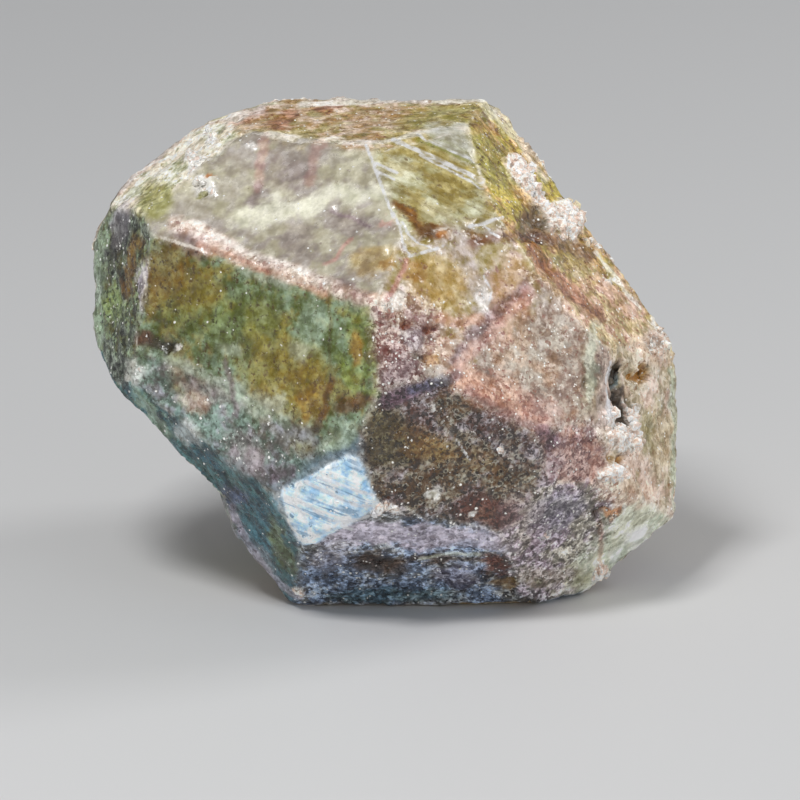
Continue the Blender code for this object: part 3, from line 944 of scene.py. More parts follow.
class Surface:
    """What the painting and the relief need to know about each point of the surface."""

    def __init__(self, points, out, softness):
        self.points = points
        self.softness = softness
        warp = clouds(points, "warp", 3)
        in_step = self.find_faces(points + WARP_MM * warp, warp)
        self.find_edges()
        self.edge = np.where(in_step, STEP_EDGE_MM, self.edge)
        self.facing = out @ TO_VIEWER
        self.place = photo_places(points)
        self.ragged = clouds(points, "ragged", 2)
        self.mottle = cloud(points, "mottle")
        self.speckle = cloud(points, "speckle")

    def find_faces(self, points, warp):
        """Find each point's own face, and the share that every face has in its look."""
        turns = np.arange(len(FACES)) * TURN_STEP
        wander = warp[:, :1] * np.cos(turns) + warp[:, 1:2] * np.sin(turns)
        gaps = plane_gaps(points) + BORDER_WANDER * wander
        step = step_gaps(points)
        in_step = step.min(axis=1) > gaps.max(axis=1) - STEP_MARGIN
        nearer = np.full_like(step, -SURELY)
        nearer[np.arange(len(points)), np.argmin(step, axis=1)] = np.where(in_step, SURELY, -SURELY)
        gaps = np.hstack((gaps, nearer))
        self.face = np.argmax(gaps, axis=1)
        self.share = np.exp((gaps - gaps.max(axis=1, keepdims=True)) / BORDER_SOFTNESS)
        self.share /= self.share.sum(axis=1, keepdims=True)
        return in_step

    def find_edges(self):
        """Find how far each point is from its face's nearest edge, in mm, and how sharp that edge is."""
        gaps = plane_gaps(self.points)
        rows = np.arange(len(gaps))
        own, next_face = np.argsort(gaps, axis=1)[:, :-3:-1].T
        self.sharpness = np.linalg.norm(NORMALS[own] - NORMALS[next_face], axis=1)
        self.edge = (gaps[rows, own] - gaps[rows, next_face]) / np.maximum(self.sharpness, LEAST_SHARPNESS)

    def on(self, name):
        return self.face == FACE_NAMES.index(name)

    def inner(self, name):
        """1 on a face, falling to 0 towards its edges."""
        return np.where(self.on(name), smooth_step(self.edge, 0.0, INNER_MARGIN), 0.0)


def patch_share(surface, middle, half, turn):
    angle = math.radians(turn)
    offset = surface.place + RAGGED_PX * surface.ragged - middle
    along = offset @ (math.cos(angle), math.sin(angle))
    aside = offset @ (-math.sin(angle), math.cos(angle))
    return 1.0 - smooth_step(np.hypot(along / half[0], aside / half[1]), *PATCH_RAMP)


def line_distance(at, corners):
    nearest = np.full(len(at), FAR_PX)
    for start, end in zip(corners[:-1], corners[1:]):
        run = np.subtract(end, start)
        part = np.clip((at - start) @ run / (run @ run), 0.0, 1.0)
        nearest = np.minimum(nearest, np.linalg.norm(at - start - part[:, None] * run, axis=1))
    return nearest


def line_share(surface, half_width, corners):
    ragged = min(MOST_LINE_RAGGEDNESS, LINE_RAGGEDNESS * half_width)
    at = surface.place + RAGGED_PX * ragged * surface.ragged
    return 1.0 - smooth_step(line_distance(at, corners) / half_width, *LINE_RAMP)


def stripe_depth(surface):
    """How far each point is inside the nearest crisp stripe, in px. It is below 0 outside."""
    at = surface.place + STRIPE_RAGGED_PX * surface.ragged
    depth = np.full(len(at), -STRIPE_REACH)
    for half_width, corners in STRIPES.values():
        depth = np.maximum(depth, half_width - line_distance(at, corners))
    return np.where(surface.facing > EDGE_ON, depth, -STRIPE_REACH)


def sheet_share(surface, corners):
    """1 inside a convex outline, with a slightly ragged border."""
    at = surface.place + SHEET_RAGGED_PX * surface.ragged
    inside = np.full(len(at), FAR_PX)
    for start, end in zip(corners, corners[1:] + corners[:1]):
        run = unit(np.subtract(end, start))
        inside = np.minimum(inside, (at - start) @ (-run[1], run[0]))
    return smooth_step(inside, *SHEET_RAMP)


def look_values(chosen_look, surface):
    """A look's channels at each point."""
    hues = smooth_step(surface.mottle + HUE_SPECKLE * surface.speckle, *HUE_RAMP)[:, None]
    values = {}
    for key, value in chosen_look.items():
        if key in COLOUR_CHANNELS:
            colours = [albedo(colour) for colour in value.split()]
            values[key] = colours[0] + (colours[-1] - colours[0]) * hues
        else:
            values[key] = np.full(len(hues), value)
    return values


def blend_look(layers, chosen_look, share, surface):
    for key, value in look_values(chosen_look, surface).items():
        part = share[:, None] if key in COLOUR_CHANNELS else share
        layers[key] += (value - layers[key]) * part


def face_layers(surface):
    """Every look channel for each point, as its faces have it."""
    count = len(surface.points)
    layers = {key: np.zeros((count, 3) if key in COLOUR_CHANNELS else count) for key in LOOK_CHANNELS}
    for index, name in enumerate(FACE_NAMES):
        share = surface.share[:, index]
        if share.max() <= LEAST_SHARE:
            continue
        source = name if name in FACE_LOOKS else BACK_FACE_LOOKS[name]
        # Painted light and shade: the face's colours are scaled by how lit the face stands.
        tone = FACE_PAINTED_LIGHT_TONES.get(source, 1.0)
        for key, value in look_values({**PLAIN_LOOK, **FACE_LOOKS[source]}, surface).items():
            layers[key] += value * tone * share[:, None] if key in COLOUR_CHANNELS else value * share
    return layers


def paint_unseen(surface, layers, share):
    """Patches, veins and crust scattered over the faces that the photo doesn't show."""
    points = surface.points
    for index, (chosen_look, size, threshold, strength) in enumerate(UNSEEN_PATCHES.values()):
        cover = noise(points, size, UNSEEN_PATCH_SEED + UNSEEN_SEED_STEP * index, *UNSEEN_PATCH_NOISE)
        cover = smooth_step(cover, threshold, threshold + UNSEEN_PATCH_SOFTNESS)
        blend_look(layers, chosen_look, share * strength * cover, surface)
    for index, (chosen_look, size, half_width, strength) in enumerate(UNSEEN_VEINS.values()):
        shift = UNSEEN_SEED_STEP * index
        level = noise(points, size, UNSEEN_VEIN_SEED + shift, *UNSEEN_VEIN_NOISE)
        breaks = noise(points, UNSEEN_BREAK_SIZE, UNSEEN_BREAK_SEED + shift, *UNSEEN_BREAK_NOISE)
        vein = 1.0 - smooth_step(np.abs(level), VEIN_CORE * half_width, half_width)
        vein = vein * smooth_step(breaks, *UNSEEN_BREAKS)
        blend_look(layers, chosen_look, share * strength * vein, surface)
    rim = 1.0 - smooth_step(surface.edge, *CRUSTED_EDGE)
    lumpy = smooth_step(cloud(points, "crusted_edges"), *CRUSTED_RAMP)
    blend_look(layers, CREAM, CRUSTED_STRENGTH * share * rim * lumpy, surface)


def wear_edges(surface, layers):
    """Pale, worn edges, broken up along their length."""
    sharp = smooth_step(surface.sharpness, *SHARP_EDGE)
    breaks = surface.ragged[:, 0]
    worn = 1.0 - smooth_step(surface.edge + WORN_SPECKLE * surface.speckle, *WORN_RAMP)
    worn = worn * sharp * smooth_step(breaks, *WORN_BREAKS)
    blend_look(layers, WORN_EDGE, WORN_STRENGTH * worn, surface)
    reach = sharp * smooth_step(breaks, *CHIPPED_BREAKS)
    reach *= DULL_WEAR + (1.0 - DULL_WEAR) * smooth_step(layers["gloss"], *GLOSSY)
    layers["worn"] = reach * np.clip(1.0 - surface.edge / WORN_WIDTH, 0.0, 1.0)


def vary_tones(surface, layers):
    """Lighter and darker places within each face, calmer where it is glossy."""
    tone = 1.0 + TONE_SPECKLE * surface.speckle + TONE_RAGGED * surface.ragged[:, 1]
    tone = 1.0 + (np.clip(tone, *TONE_LIMITS) - 1.0) * (1.0 - GLOSS_CALM * layers["gloss"])
    layers["body"] *= tone[:, None]
    layers["skin"] *= (1.0 + SKIN_TONE * (tone - 1.0))[:, None]
    frost = layers["frost"] + FROST_RAGGED * surface.ragged[:, 1] + FROST_SPECKLE * surface.speckle
    layers["frost"] = np.clip(frost, 0.0, 1.0)


def paint(surface):
    """Every look channel for each point: the faces' looks, then the patches and lines of the photo."""
    layers = face_layers(surface)
    seen = smooth_step(surface.facing, *SEEN_RAMP)
    for chosen_look, middle, half, turn, strength in PATCHES.values():
        blend_look(layers, chosen_look, seen * strength * patch_share(surface, middle, half, turn), surface)
    for chosen_look, half_width, corners, strength in LINES.values():
        blend_look(layers, chosen_look, seen * strength * line_share(surface, half_width, corners), surface)
    paint_unseen(surface, layers, 1.0 - seen)
    for chosen_look, corners, strength in SHEETS.values():
        blend_look(layers, chosen_look, seen * strength * sheet_share(surface, corners), surface)
    wear_edges(surface, layers)
    vary_tones(surface, layers)
    return layers


def streak_places(surface, name):
    """Where each point is across a face's streaks, in spacings, and along them, in streak lengths."""
    degrees, spacing, length, _, _ = STREAKS[name]
    index = FACE_NAMES.index(name)
    along = photo_direction(ALL_NORMALS[index], degrees)
    across = np.cross(ALL_NORMALS[index], along)
    points = surface.points
    own = np.full(len(points), index)
    return np.stack((points @ across / spacing, points @ along / length, own), axis=1)


def streak_layers(surface):
    """The places within the streaks of each point's own face, and how strongly they are coloured there."""
    places = np.zeros((len(surface.points), 3))
    lined = np.zeros(len(surface.points))
    for name, (*_, strength) in STREAKS.items():
        chosen = surface.on(name)
        places[chosen] = streak_places(surface, name)[chosen]
        lined += strength * surface.inner(name)
    crisp = np.any([surface.on(name) for name in CRISP_STREAKS], axis=0)
    places[:, 0] += np.where(crisp, 0.0, STREAK_SWAY * surface.ragged[:, 0])
    return {"streak": places, "lined": lined, "stripe": stripe_depth(surface)}

# Relief

ROUGH_MIDDLE = 0.6
STREAK_MIDDLE = 0.5
STREAK_SEED = 50
STREAK_NOISE = (3, 0.6)
PIT_SEED = 70
# Corrosion pits: their least size and its random range as shares of the spacing, and their flat floor.
PIT_SIZE = (0.25, 0.3)
PIT_FLOOR = 0.3
# Small chips along the edges: depth in mm, reach from the edge in mm, and the noise levels they start at.
NICK_DEPTH = 0.16
NICK_REACH = 0.35
NICK_RAMP = (0.5, 0.95)
# Larger shell-shaped chips: spacing and depth in mm, sizes as shares of the spacing, ripples, and share.
CHIP_SPACING = 2.2
CHIP_DEPTH = 0.22
CHIP_SEED = 92
CHIP_SIZE = (0.2, 0.25)
CHIP_RIPPLE = (0.15, 22.0)
CHIP_EDGE = (0.1, 0.7)
CHIP_SHARE = 0.5
PIT_WALL_DEPTH = (0.1, 0.3)
PIT_WALL_RELIEF = 0.12
# The pits' dark brown and painted shade: depth in mm where it starts and is full, and strength.
PIT_SHADE_DEPTH = (0.06, 0.3)
PIT_SHADE_STRENGTH = 0.9
DENT_RAMP = (0.0, 0.15)
# The crust's lumps in mm: their mean, their range, and the lowest hollow between them.
LUMP_MEAN = 0.1
LUMP_RANGE = 0.26
LOWEST_LUMP = -0.15
HIGHEST_RELIEF = 0.4


def streaked(surface):
    """How far the growth streaks stand out, in mm."""
    height = np.zeros(len(surface.points))
    for name, (*_, depth, _) in STREAKS.items():
        seed = STREAK_SEED + FACE_NAMES.index(name)
        level = noise(streak_places(surface, name), 1.0, seed, *STREAK_NOISE) - STREAK_MIDDLE
        height += surface.inner(name) * depth * level
    return height


def corroded(surface):
    """How deep the round corrosion pits are, in mm."""
    depths = np.zeros(len(surface.points))
    for name, (spacing, depth, share) in CORROSION.items():
        chosen = surface.on(name)
        near, value = scattered(surface.points[chosen], spacing, PIT_SEED)
        size = spacing * (PIT_SIZE[0] + PIT_SIZE[1] * value)
        hollow = np.where(value < share, 1.0 - smooth_step(near, PIT_FLOOR * size, size), 0.0)
        depths[chosen] += surface.inner(name)[chosen] * depth * hollow
    return depths


def chipped(surface):
    """How deep the chips along the edges are, in mm."""
    nicks = cloud(surface.points, "chips") * 0.5 + 0.5
    at_edge = 1.0 - smooth_step(surface.edge, 0.0, NICK_REACH)
    near, value = scattered(surface.points, CHIP_SPACING, CHIP_SEED)
    size = CHIP_SPACING * (CHIP_SIZE[0] + CHIP_SIZE[1] * value)
    bowl = np.clip(1.0 - (near / size) ** 2, 0.0, 1.0)
    ripple = 1.0 + CHIP_RIPPLE[0] * np.sin(near * CHIP_RIPPLE[1])
    at_chip = (1.0 - smooth_step(surface.edge, *CHIP_EDGE)) * (value < CHIP_SHARE)
    return NICK_DEPTH * at_edge * smooth_step(nicks, *NICK_RAMP) + CHIP_DEPTH * at_chip * bowl * ripple


def inside_pits(surface, ramp):
    """1 where the surface is deep inside a pit of the CAD model."""
    return smooth_step(-body_gap(surface.points, surface.softness)[0], *ramp)


def relief(surface, layers):
    """How far each point stands out, in mm."""
    points = surface.points
    rough = np.full(len(points), USUAL_ROUGHNESS_MM)
    for name, depth in ROUGHNESS_MM.items():
        rough[surface.on(name)] = depth
    height = rough * (cloud(points, "rough") - ROUGH_MIDDLE)
    height += streaked(surface) - corroded(surface) - chipped(surface)
    height += PIT_WALL_RELIEF * inside_pits(surface, PIT_WALL_DEPTH) * cloud(points, "pit_walls")
    seen = smooth_step(surface.facing, *DENT_RAMP)
    for middle, half, turn, depth in DENTS.values():
        height -= seen * depth * patch_share(surface, middle, half, turn)
    lumps = LUMP_MEAN + LUMP_RANGE * cloud(points, "lumps")
    height += layers["crust"] * np.maximum(lumps, LOWEST_LUMP)
    return np.minimum(height, HIGHEST_RELIEF)


# Pieces

GRAIN_SEED = 7
GRAIN_COUNT = 520
GRAIN_RADIUS = (0.08, 0.3)
GRAIN_SIZE_POWER = 1.5
GRAIN_ROUGHNESS = (0.65, 1.2)
GRAIN_STRETCH = (0.6, 1.3)
GRAIN_LIFT = 0.06
GRAIN_TONE = (0.85, 1.2)
GRAIN_CRUST = (0.2, 0.6)
# Grains keep off the outline that the photo's view shows, and are sparser behind.
SEEN_GRAINS = (0.29, 0.33)
UNSEEN_GRAINS = (0.2, 0.5)
UNSEEN_GRAIN_SHARE = 0.5
# The mesh is twice as fine where the photo's view shows it, so that points there stand for less surface.
SEEN_POINT_AREA = 0.25


def store(mesh, layers):
    """Keep the values, colours and vectors of each point of the mesh, for the material to read."""
    for name in ALL_CHANNELS:
        values, kind, key = layers[name], "FLOAT", "value"
        if name == "streak":
            kind, key = "FLOAT_VECTOR", "vector"
        elif name in COLOUR_CHANNELS:
            values, kind, key = np.hstack((values, np.ones((len(values), 1)))), "FLOAT_COLOR", "color"
        attribute = mesh.attributes.new(name, kind, "POINT")
        attribute.data.foreach_set(key, values.astype(np.float32).ravel())


def add_object(name, data):
    item = bpy.data.objects.new(name, data)
    bpy.context.scene.collection.objects.link(item)
    return item


def build_crystal():
    """The crystal's body, and the grains of crust on it."""
    item = add_object("garnet_body", frame["nodes"][NODE].data.copy())
    item.data.materials.clear()
    even_mesh(item)
    points = read_points(item.data)
    softness = EDGE_SOFTNESS * (SOFTNESS_MEAN + SOFTNESS_RANGE * cloud(points, "softness"))
    softness = np.maximum(softness, LEAST_SOFTNESS)
    points, out = settled(points, softness)
    surface = Surface(swayed_pits(points, out), out, softness)
    layers = paint(surface)
    # The pits darkened with depth: their brown and painted shade.
    blend_look(layers, PIT_BROWN_AND_SHADE, PIT_SHADE_STRENGTH * inside_pits(surface, PIT_SHADE_DEPTH), surface)
    points = surface.points + out * relief(surface, layers)[:, None]
    layers.update(streak_layers(surface))
    write_points(item.data, points)
    store(item.data, layers)
    item.data.polygons.foreach_set("use_smooth", np.ones(len(item.data.polygons), bool))
    return item, build_grains(points, out, surface, layers)


def round_grain():
    """The corners and faces of a ball with twenty sides, which every grain is made of."""
    shape = bmesh.new()
    bmesh.ops.create_icosphere(shape, subdivisions=1, radius=1.0)
    shape.verts.ensure_lookup_table()
    corners = np.array([corner.co for corner in shape.verts])
    faces = np.array([[corner.index for corner in face.verts] for face in shape.faces])
    shape.free()
    return corners, faces


def grain_chances(surface, crust):
    facing = surface.facing
    area = np.where(facing > SEEN_LIMIT, SEEN_POINT_AREA, 1.0)
    seen = smooth_step(facing, *SEEN_GRAINS)
    unseen = UNSEEN_GRAIN_SHARE * smooth_step(-facing, *UNSEEN_GRAINS)
    chance = area * smooth_step(crust, *GRAIN_CRUST)
    chance *= np.where(facing > 0.0, seen, unseen)
    return chance / chance.sum()


def build_grains(points, out, surface, layers):
    """Small angular grains that stand on the crust, as one mesh, coloured like the crust under them."""
    random = np.random.default_rng(GRAIN_SEED)
    chances = grain_chances(surface, layers["crust"])
    chosen = random.choice(len(points), GRAIN_COUNT, replace=False, p=chances)
    corners, faces = round_grain()
    radius = random.uniform(*GRAIN_RADIUS, GRAIN_COUNT) ** GRAIN_SIZE_POWER
    radius /= GRAIN_RADIUS[1] ** (GRAIN_SIZE_POWER - 1.0)
    shapes = corners * random.uniform(*GRAIN_ROUGHNESS, (GRAIN_COUNT, len(corners), 1))
    shapes = shapes * random.uniform(*GRAIN_STRETCH, (GRAIN_COUNT, 1, 3)) * radius[:, None, None]
    middles = points[chosen] + out[chosen] * (GRAIN_LIFT * radius[:, None])
    places = (middles[:, None, :] + shapes).reshape(-1, 3)
    starts = np.arange(GRAIN_COUNT)[:, None, None] * len(corners)
    mesh = bpy.data.meshes.new("crust_grains")
    mesh.from_pydata(places.tolist(), [], (starts + faces).reshape(-1, 3).tolist())
    write_points(mesh, places)
    own_layers = {name: np.repeat(layers[name][chosen], len(corners), axis=0) for name in ALL_CHANNELS}
    tone = np.repeat(random.uniform(*GRAIN_TONE, GRAIN_COUNT), len(corners))[:, None]
    for name in COLOUR_CHANNELS:
        own_layers[name] *= tone
    store(mesh, own_layers)
    return add_object("crust_grains", mesh)


# Shader nodes


def operator(operation):
    """A method that joins two values in a math node."""
    return lambda first, second: first.nodes.math(operation, first, second)


class Value:
    """The output of a shader node, which can be reckoned with like a number."""

    __add__ = operator("ADD")
    __sub__ = operator("SUBTRACT")
    __mul__ = operator("MULTIPLY")
    __lt__ = operator("LESS_THAN")
    __gt__ = operator("GREATER_THAN")
    higher = operator("MAXIMUM")

    def __init__(self, nodes, socket):
        self.nodes = nodes
        self.socket = socket

    def other(self, output):
        """Another output of the same node."""
        return Value(self.nodes, self.socket.node.outputs[output])

    def span(self, low, high, to_low=0.0, to_high=1.0, kind="SMOOTHSTEP"):
        """This value's range from low to high, turned into another range."""
        return self.nodes.make("MapRange", (self, low, high, to_low, to_high), interpolation_type=kind)

    def between(self, start, end):
        """From start to end as this value goes from 0 to 1."""
        return self.span(0.0, 1.0, start, end, "LINEAR")


Cells = namedtuple("Cells", "distance value other_value colour")


class Nodes:
    """Short names for making and joining shader nodes."""

    def __init__(self, tree):
        self.tree = tree

    def feed(self, socket, value):
        if isinstance(value, Value):
            self.tree.links.new(value.socket, socket)
        else:
            socket.default_value = value

    def make(self, kind, inputs=(), output=0, **settings):
        """An output of a new node. What feeds it is given in order, or by the names of its inputs."""
        node = self.tree.nodes.new("ShaderNode" + kind)
        for key, value in settings.items():
            setattr(node, key, value)
        for key, value in inputs.items() if isinstance(inputs, dict) else enumerate(inputs):
            self.feed(node.inputs[key], value)
        return Value(self, node.outputs[output])

    def math(self, operation, *values, clamp=False):
        return self.make("Math", values, operation=operation, use_clamp=clamp)

    def vector(self, operation, *values):
        return self.make("VectorMath", values, operation=operation)

    def scaled(self, vector, factor):
        return self.make("VectorMath", {"Vector": vector, "Scale": factor}, operation="SCALE")

    def mix(self, share, first, second, kind="MIX", clamp=False):
        """Mix two colours."""
        colours = {0: share, 6: first, 7: second}
        return self.make("Mix", colours, 2, data_type="RGBA", blend_type=kind, clamp_result=clamp)

    def blend(self, share, first, second):
        """Mix two numbers."""
        return self.make("Mix", {0: share, 2: first, 3: second}, data_type="FLOAT")

    def noise(self, places, per_mm, detail, roughness, output=0):
        inputs = {"Vector": places, "Scale": per_mm, "Detail": detail, "Roughness": roughness}
        return self.make("TexNoise", inputs, output)

    def swayed(self, places, per_mm, reach_mm):
        """The places moved about, so that what lies on them gets irregular borders."""
        sway = self.noise(places, per_mm, *SWAY_DETAIL, output=1)
        return self.vector("MULTIPLY_ADD", sway, (reach_mm,) * 3, places)

    def tilted(self, normal, facet, reach):
        """The normal leant towards a random colour taken as a direction."""
        lean = self.scaled(self.vector("SUBTRACT", facet, (MIDDLE,) * 3), reach)
        return self.vector("NORMALIZE", self.vector("ADD", normal, lean))

    def cells(self, places, per_mm):
        """Distance to the nearest scattered point, in cell sizes, and what is random for that point."""
        distance = self.make("TexVoronoi", {"Vector": places, "Scale": per_mm}, "Distance")
        colour = distance.other("Color")
        value = self.make("SeparateColor", (colour,))
        return Cells(distance, value, value.other(1), colour)

    def channel(self, name):
        output = "Color" if name in COLOUR_CHANNELS else "Vector" if name == "streak" else "Fac"
        return self.make("Attribute", (), output, attribute_name=name)


def rgba(hex_colour):
    return (*albedo(hex_colour), 1.0)


# Materials

GARNET_IOR = 1.73
# Two numbers are the ends of a ramp, or what it runs between. Four are its ends and its values there. A
# strength is how fully a layer covers the layers under it.
# Noises: features to the mm, detail and roughness. SWAY_DETAIL is detail and roughness only.
CLOUDY = (1.8, 2.5, 0.55)
FINE = (5.5, 3.0, 0.6)
BLOTCHY = (3.4, 3.0, 0.65)
BLOTCHY_SHIFT = (3.7, 8.1, 5.3)
STREAKY = (1.0, 2.0, 0.55)
SWAY_DETAIL = (2.0, 0.6)
MIDDLE = 0.5
# Grit, etched rings and painted glints: how many to the mm, and the sway of their places, per mm and in mm.
GRITS_PER_MM = 4.2
GRIT_SWAY = (7.0, 0.35)
RINGS_PER_MM = 2.4
RING_SWAY = (3.0, 0.3)
GLINTS_PER_MM = 6.5
# The grain is cloudy on smooth faces, and made of fine noise and grit on rough ones.
FINE_IN_GRAIN = 0.85
GRIT_IN_GRAIN = (-0.03, 0.18)
GRAIN_BLEND = (0.05, 0.9)
# Frost covers the grain's highest parts, with soft borders where the crystal is glossy.
FROST_LEVEL = (0.68, 0.32)
FROST_SOFTNESS = (0.12, 0.24)
FINE_SHADE = (0.28, 0.72, 0.78, 1.22)
GRIT_SHADE = (0.76, 1.24)
SHADE_STRENGTH = (1.0, 0.3)
STAIN_LEVEL = (0.74, 0.4)
STAIN_RAMP = (-0.03, 0.06)
LEAST_STAIN = 0.02
STAINED_GRITS = 0.3
STAINED_GRIT_RAMP = (0.35, 0.6)
STAIN_STRENGTH = 0.8
BRIGHT_STREAK = (0.54, 0.62)
BRIGHT_STREAK_STRENGTH = 0.75
DARK_STREAK = (0.46, 0.38)
DARK_STREAK_STRENGTH = 0.6
RING_SIZE = (0.2, 0.42)
RING_WIDTH = (0.03, 0.11, 1.0, 0.0)
RING_BREAKS = (0.4, 0.52)
RING_STRENGTH = 0.8
HOLE_SIZE = 0.75
HOLE_STRENGTH = 0.6
CRUST_GRAIN = 1.8
CRUST_RAMP = (0.42, 0.6)
CRUST_COLOURS = ("d8beae", "fffaf4")
CRUST_COLOUR_RAMP = (0.42, 0.56)
CRUST_STRENGTH = 0.7
WORN_GRAIN = 0.5
WORN_LEVEL = (0.6, 0.85)
WORN_COLOUR = "e8e2d8"
WORN_COLOUR_STRENGTH = 0.55
# Stripes: painted highlights along the striations and scratches, and pale chip edges.
STRIPE_BORDER = (-0.7, 0.7)
STRIPE_BREAKS = (0.36, 0.54, 0.3, 0.85)
STRIPE_HIGHLIGHT_AND_EDGE_COLOUR = "dcdcde"
# Painted glints: white specks that stand in for light caught by the grain's facets.
GLINT_RAGGEDNESS = 1.6
GLINT_CLUSTERS = (0.42, 0.62, 0.02, 0.36)
GLINT_SIZE = (0.22, 0.5)
GLINT_BORDER = (-0.2, 0.05, 0.9, 0.0)
PAINTED_GLINT_COLOUR = "fbf8f2"
CONTRAST = 1.18
CONTRAST_GAIN = 1.21
ROUGHNESS = (0.56, 0.16)
SHINY_GRITS = 0.6
SHINY_GRIT_GLOSS = 0.28
GRAIN_LEVEL = 0.45
GRAIN_ROUGHENING = 0.4
CRUST_ROUGHNESS = 0.85
MIRROR_FROST = (0.0, 1.0, 0.6, 1.0)
FROST_CLOUDING = 0.6
GRIT_HEIGHT = 0.35
HOLE_DEPTH = 0.2
RING_HEIGHT = 0.2
STREAK_HEIGHT = 0.5
CRUST_HEIGHT = 0.8
FACET_TILT = 0.6
BUMP_STRENGTH = 0.9
BUMP_DISTANCE = 0.12 * MM


class GarnetShader:
    """The garnet's colour, gloss and bump, layer by layer, from the values kept at each point."""

    def __init__(self, tree):
        nodes = Nodes(tree)
        self.nodes = nodes
        self.inputs = tree.nodes["Principled BSDF"].inputs
        self.channel = {name: nodes.channel(name) for name in ALL_CHANNELS}
        self.places = nodes.scaled(nodes.make("TexCoord", (), "Object"), 1.0 / MM)
        self.cloudy = nodes.noise(self.places, *CLOUDY)
        self.fine = nodes.noise(self.places, *FINE)
        self.blotchy = nodes.noise(nodes.vector("ADD", self.places, BLOTCHY_SHIFT), *BLOTCHY)
        self.grit = nodes.cells(nodes.swayed(self.places, *GRIT_SWAY), GRITS_PER_MM)
        granular = self.fine * FINE_IN_GRAIN + self.grit.value.between(*GRIT_IN_GRAIN)
        self.grain = nodes.blend(self.channel["grain"].between(*GRAIN_BLEND), self.cloudy, granular)
        self.add_frost()
        self.add_stains()
        self.add_streaks()
        self.add_rings()
        self.add_crust()
        self.add_worn_edges()
        self.add_highlight_and_edge_stripes()
        self.add_glints()
        self.set_colour()
        self.set_gloss()
        self.set_bump()

    def cover(self, share, colour):
        """Lay a colour over all layers up to now."""
        self.colour = self.nodes.mix(share, self.colour, colour)

    def add_frost(self):
        channel, nodes = self.channel, self.nodes
        softness = channel["gloss"].between(*FROST_SOFTNESS)
        level = channel["frost"].between(*FROST_LEVEL)
        self.frost = (self.grain - level).span(softness * -1.0, softness)
        self.colour = nodes.mix(self.frost, channel["body"], channel["skin"])
        strength = channel["gloss"].between(*SHADE_STRENGTH)
        shade = nodes.blend(strength, 1.0, self.fine.span(*FINE_SHADE, "LINEAR"))
        mosaic = nodes.blend(channel["grain"], 1.0, self.grit.value.between(*GRIT_SHADE))
        self.colour = nodes.mix(1.0, self.colour, shade * mosaic, "MULTIPLY")

    def add_stains(self):
        dark = self.channel["dark"]
        stain = (self.blotchy - dark.between(*STAIN_LEVEL)).span(*STAIN_RAMP) * (dark > LEAST_STAIN)
        stained = self.grit.other_value < dark * self.channel["grain"] * STAINED_GRITS
        self.stain = stain.higher(stained * self.fine.span(*STAINED_GRIT_RAMP))
        self.cover(self.stain * STAIN_STRENGTH, self.channel["spot"])

    def add_streaks(self):
        lined = self.channel["lined"]
        self.streaks = self.nodes.noise(self.channel["streak"], *STREAKY)
        bright = self.streaks.span(*BRIGHT_STREAK) * lined
        dark = self.streaks.span(*DARK_STREAK) * lined
        self.cover(bright * BRIGHT_STREAK_STRENGTH, self.channel["skin"])
        self.cover(dark * DARK_STREAK_STRENGTH, self.channel["spot"])

    def add_rings(self):
        """Round etched spots with a pale rim."""
        spot = self.nodes.cells(self.nodes.swayed(self.places, *RING_SWAY), RINGS_PER_MM)
        size = spot.value.between(*RING_SIZE)
        ringed = spot.value < self.channel["rings"]
        from_rim = self.nodes.math("ABSOLUTE", spot.distance - size)
        self.ring = from_rim.span(*RING_WIDTH) * ringed * self.fine.span(*RING_BREAKS)
        self.hole = (spot.distance < size * HOLE_SIZE) * ringed
        self.cover(self.hole * HOLE_STRENGTH, self.channel["spot"])
        self.cover(self.ring * RING_STRENGTH, self.channel["skin"])

    def add_crust(self):
        dark, pale = (rgba(colour) for colour in CRUST_COLOURS)
        colour = self.nodes.mix(self.blotchy.span(*CRUST_COLOUR_RAMP), dark, pale)
        cover = self.channel["crust"] + (self.grain - MIDDLE) * CRUST_GRAIN
        self.crust = cover.span(*CRUST_RAMP)
        self.cover(self.crust * CRUST_STRENGTH, colour)

    def add_worn_edges(self):
        worn = (self.channel["worn"] + (self.fine - MIDDLE) * WORN_GRAIN).span(*WORN_LEVEL)
        self.cover(worn * WORN_COLOUR_STRENGTH, rgba(WORN_COLOUR))

    def add_highlight_and_edge_stripes(self):
        # Painted highlights along the striations and scratches, and pale chip edges.
        stripe = self.channel["stripe"].span(*STRIPE_BORDER) * self.cloudy.span(*STRIPE_BREAKS)
        self.cover(stripe, rgba(STRIPE_HIGHLIGHT_AND_EDGE_COLOUR))

    def add_glints(self):
        # Painted highlights: white specks where the grain would catch the light.
        self.speck = self.nodes.cells(self.places, GLINTS_PER_MM)
        share = self.channel["glint"] * self.cloudy.span(*GLINT_CLUSTERS, "LINEAR")
        ragged = self.speck.distance + (self.fine - MIDDLE) * GLINT_RAGGEDNESS
        inside = (ragged - self.speck.other_value.between(*GLINT_SIZE)).span(*GLINT_BORDER)
        self.glint = (self.speck.value < share) * inside
        self.cover(self.glint, rgba(PAINTED_GLINT_COLOUR))

    def set_colour(self):
        gain = (CONTRAST_GAIN, CONTRAST_GAIN, CONTRAST_GAIN, 1.0)
        deep = self.nodes.make("Gamma", (self.colour, CONTRAST))
        colour = self.nodes.mix(1.0, deep, gain, "MULTIPLY", clamp=True)
        self.nodes.feed(self.inputs["Base Color"], colour)

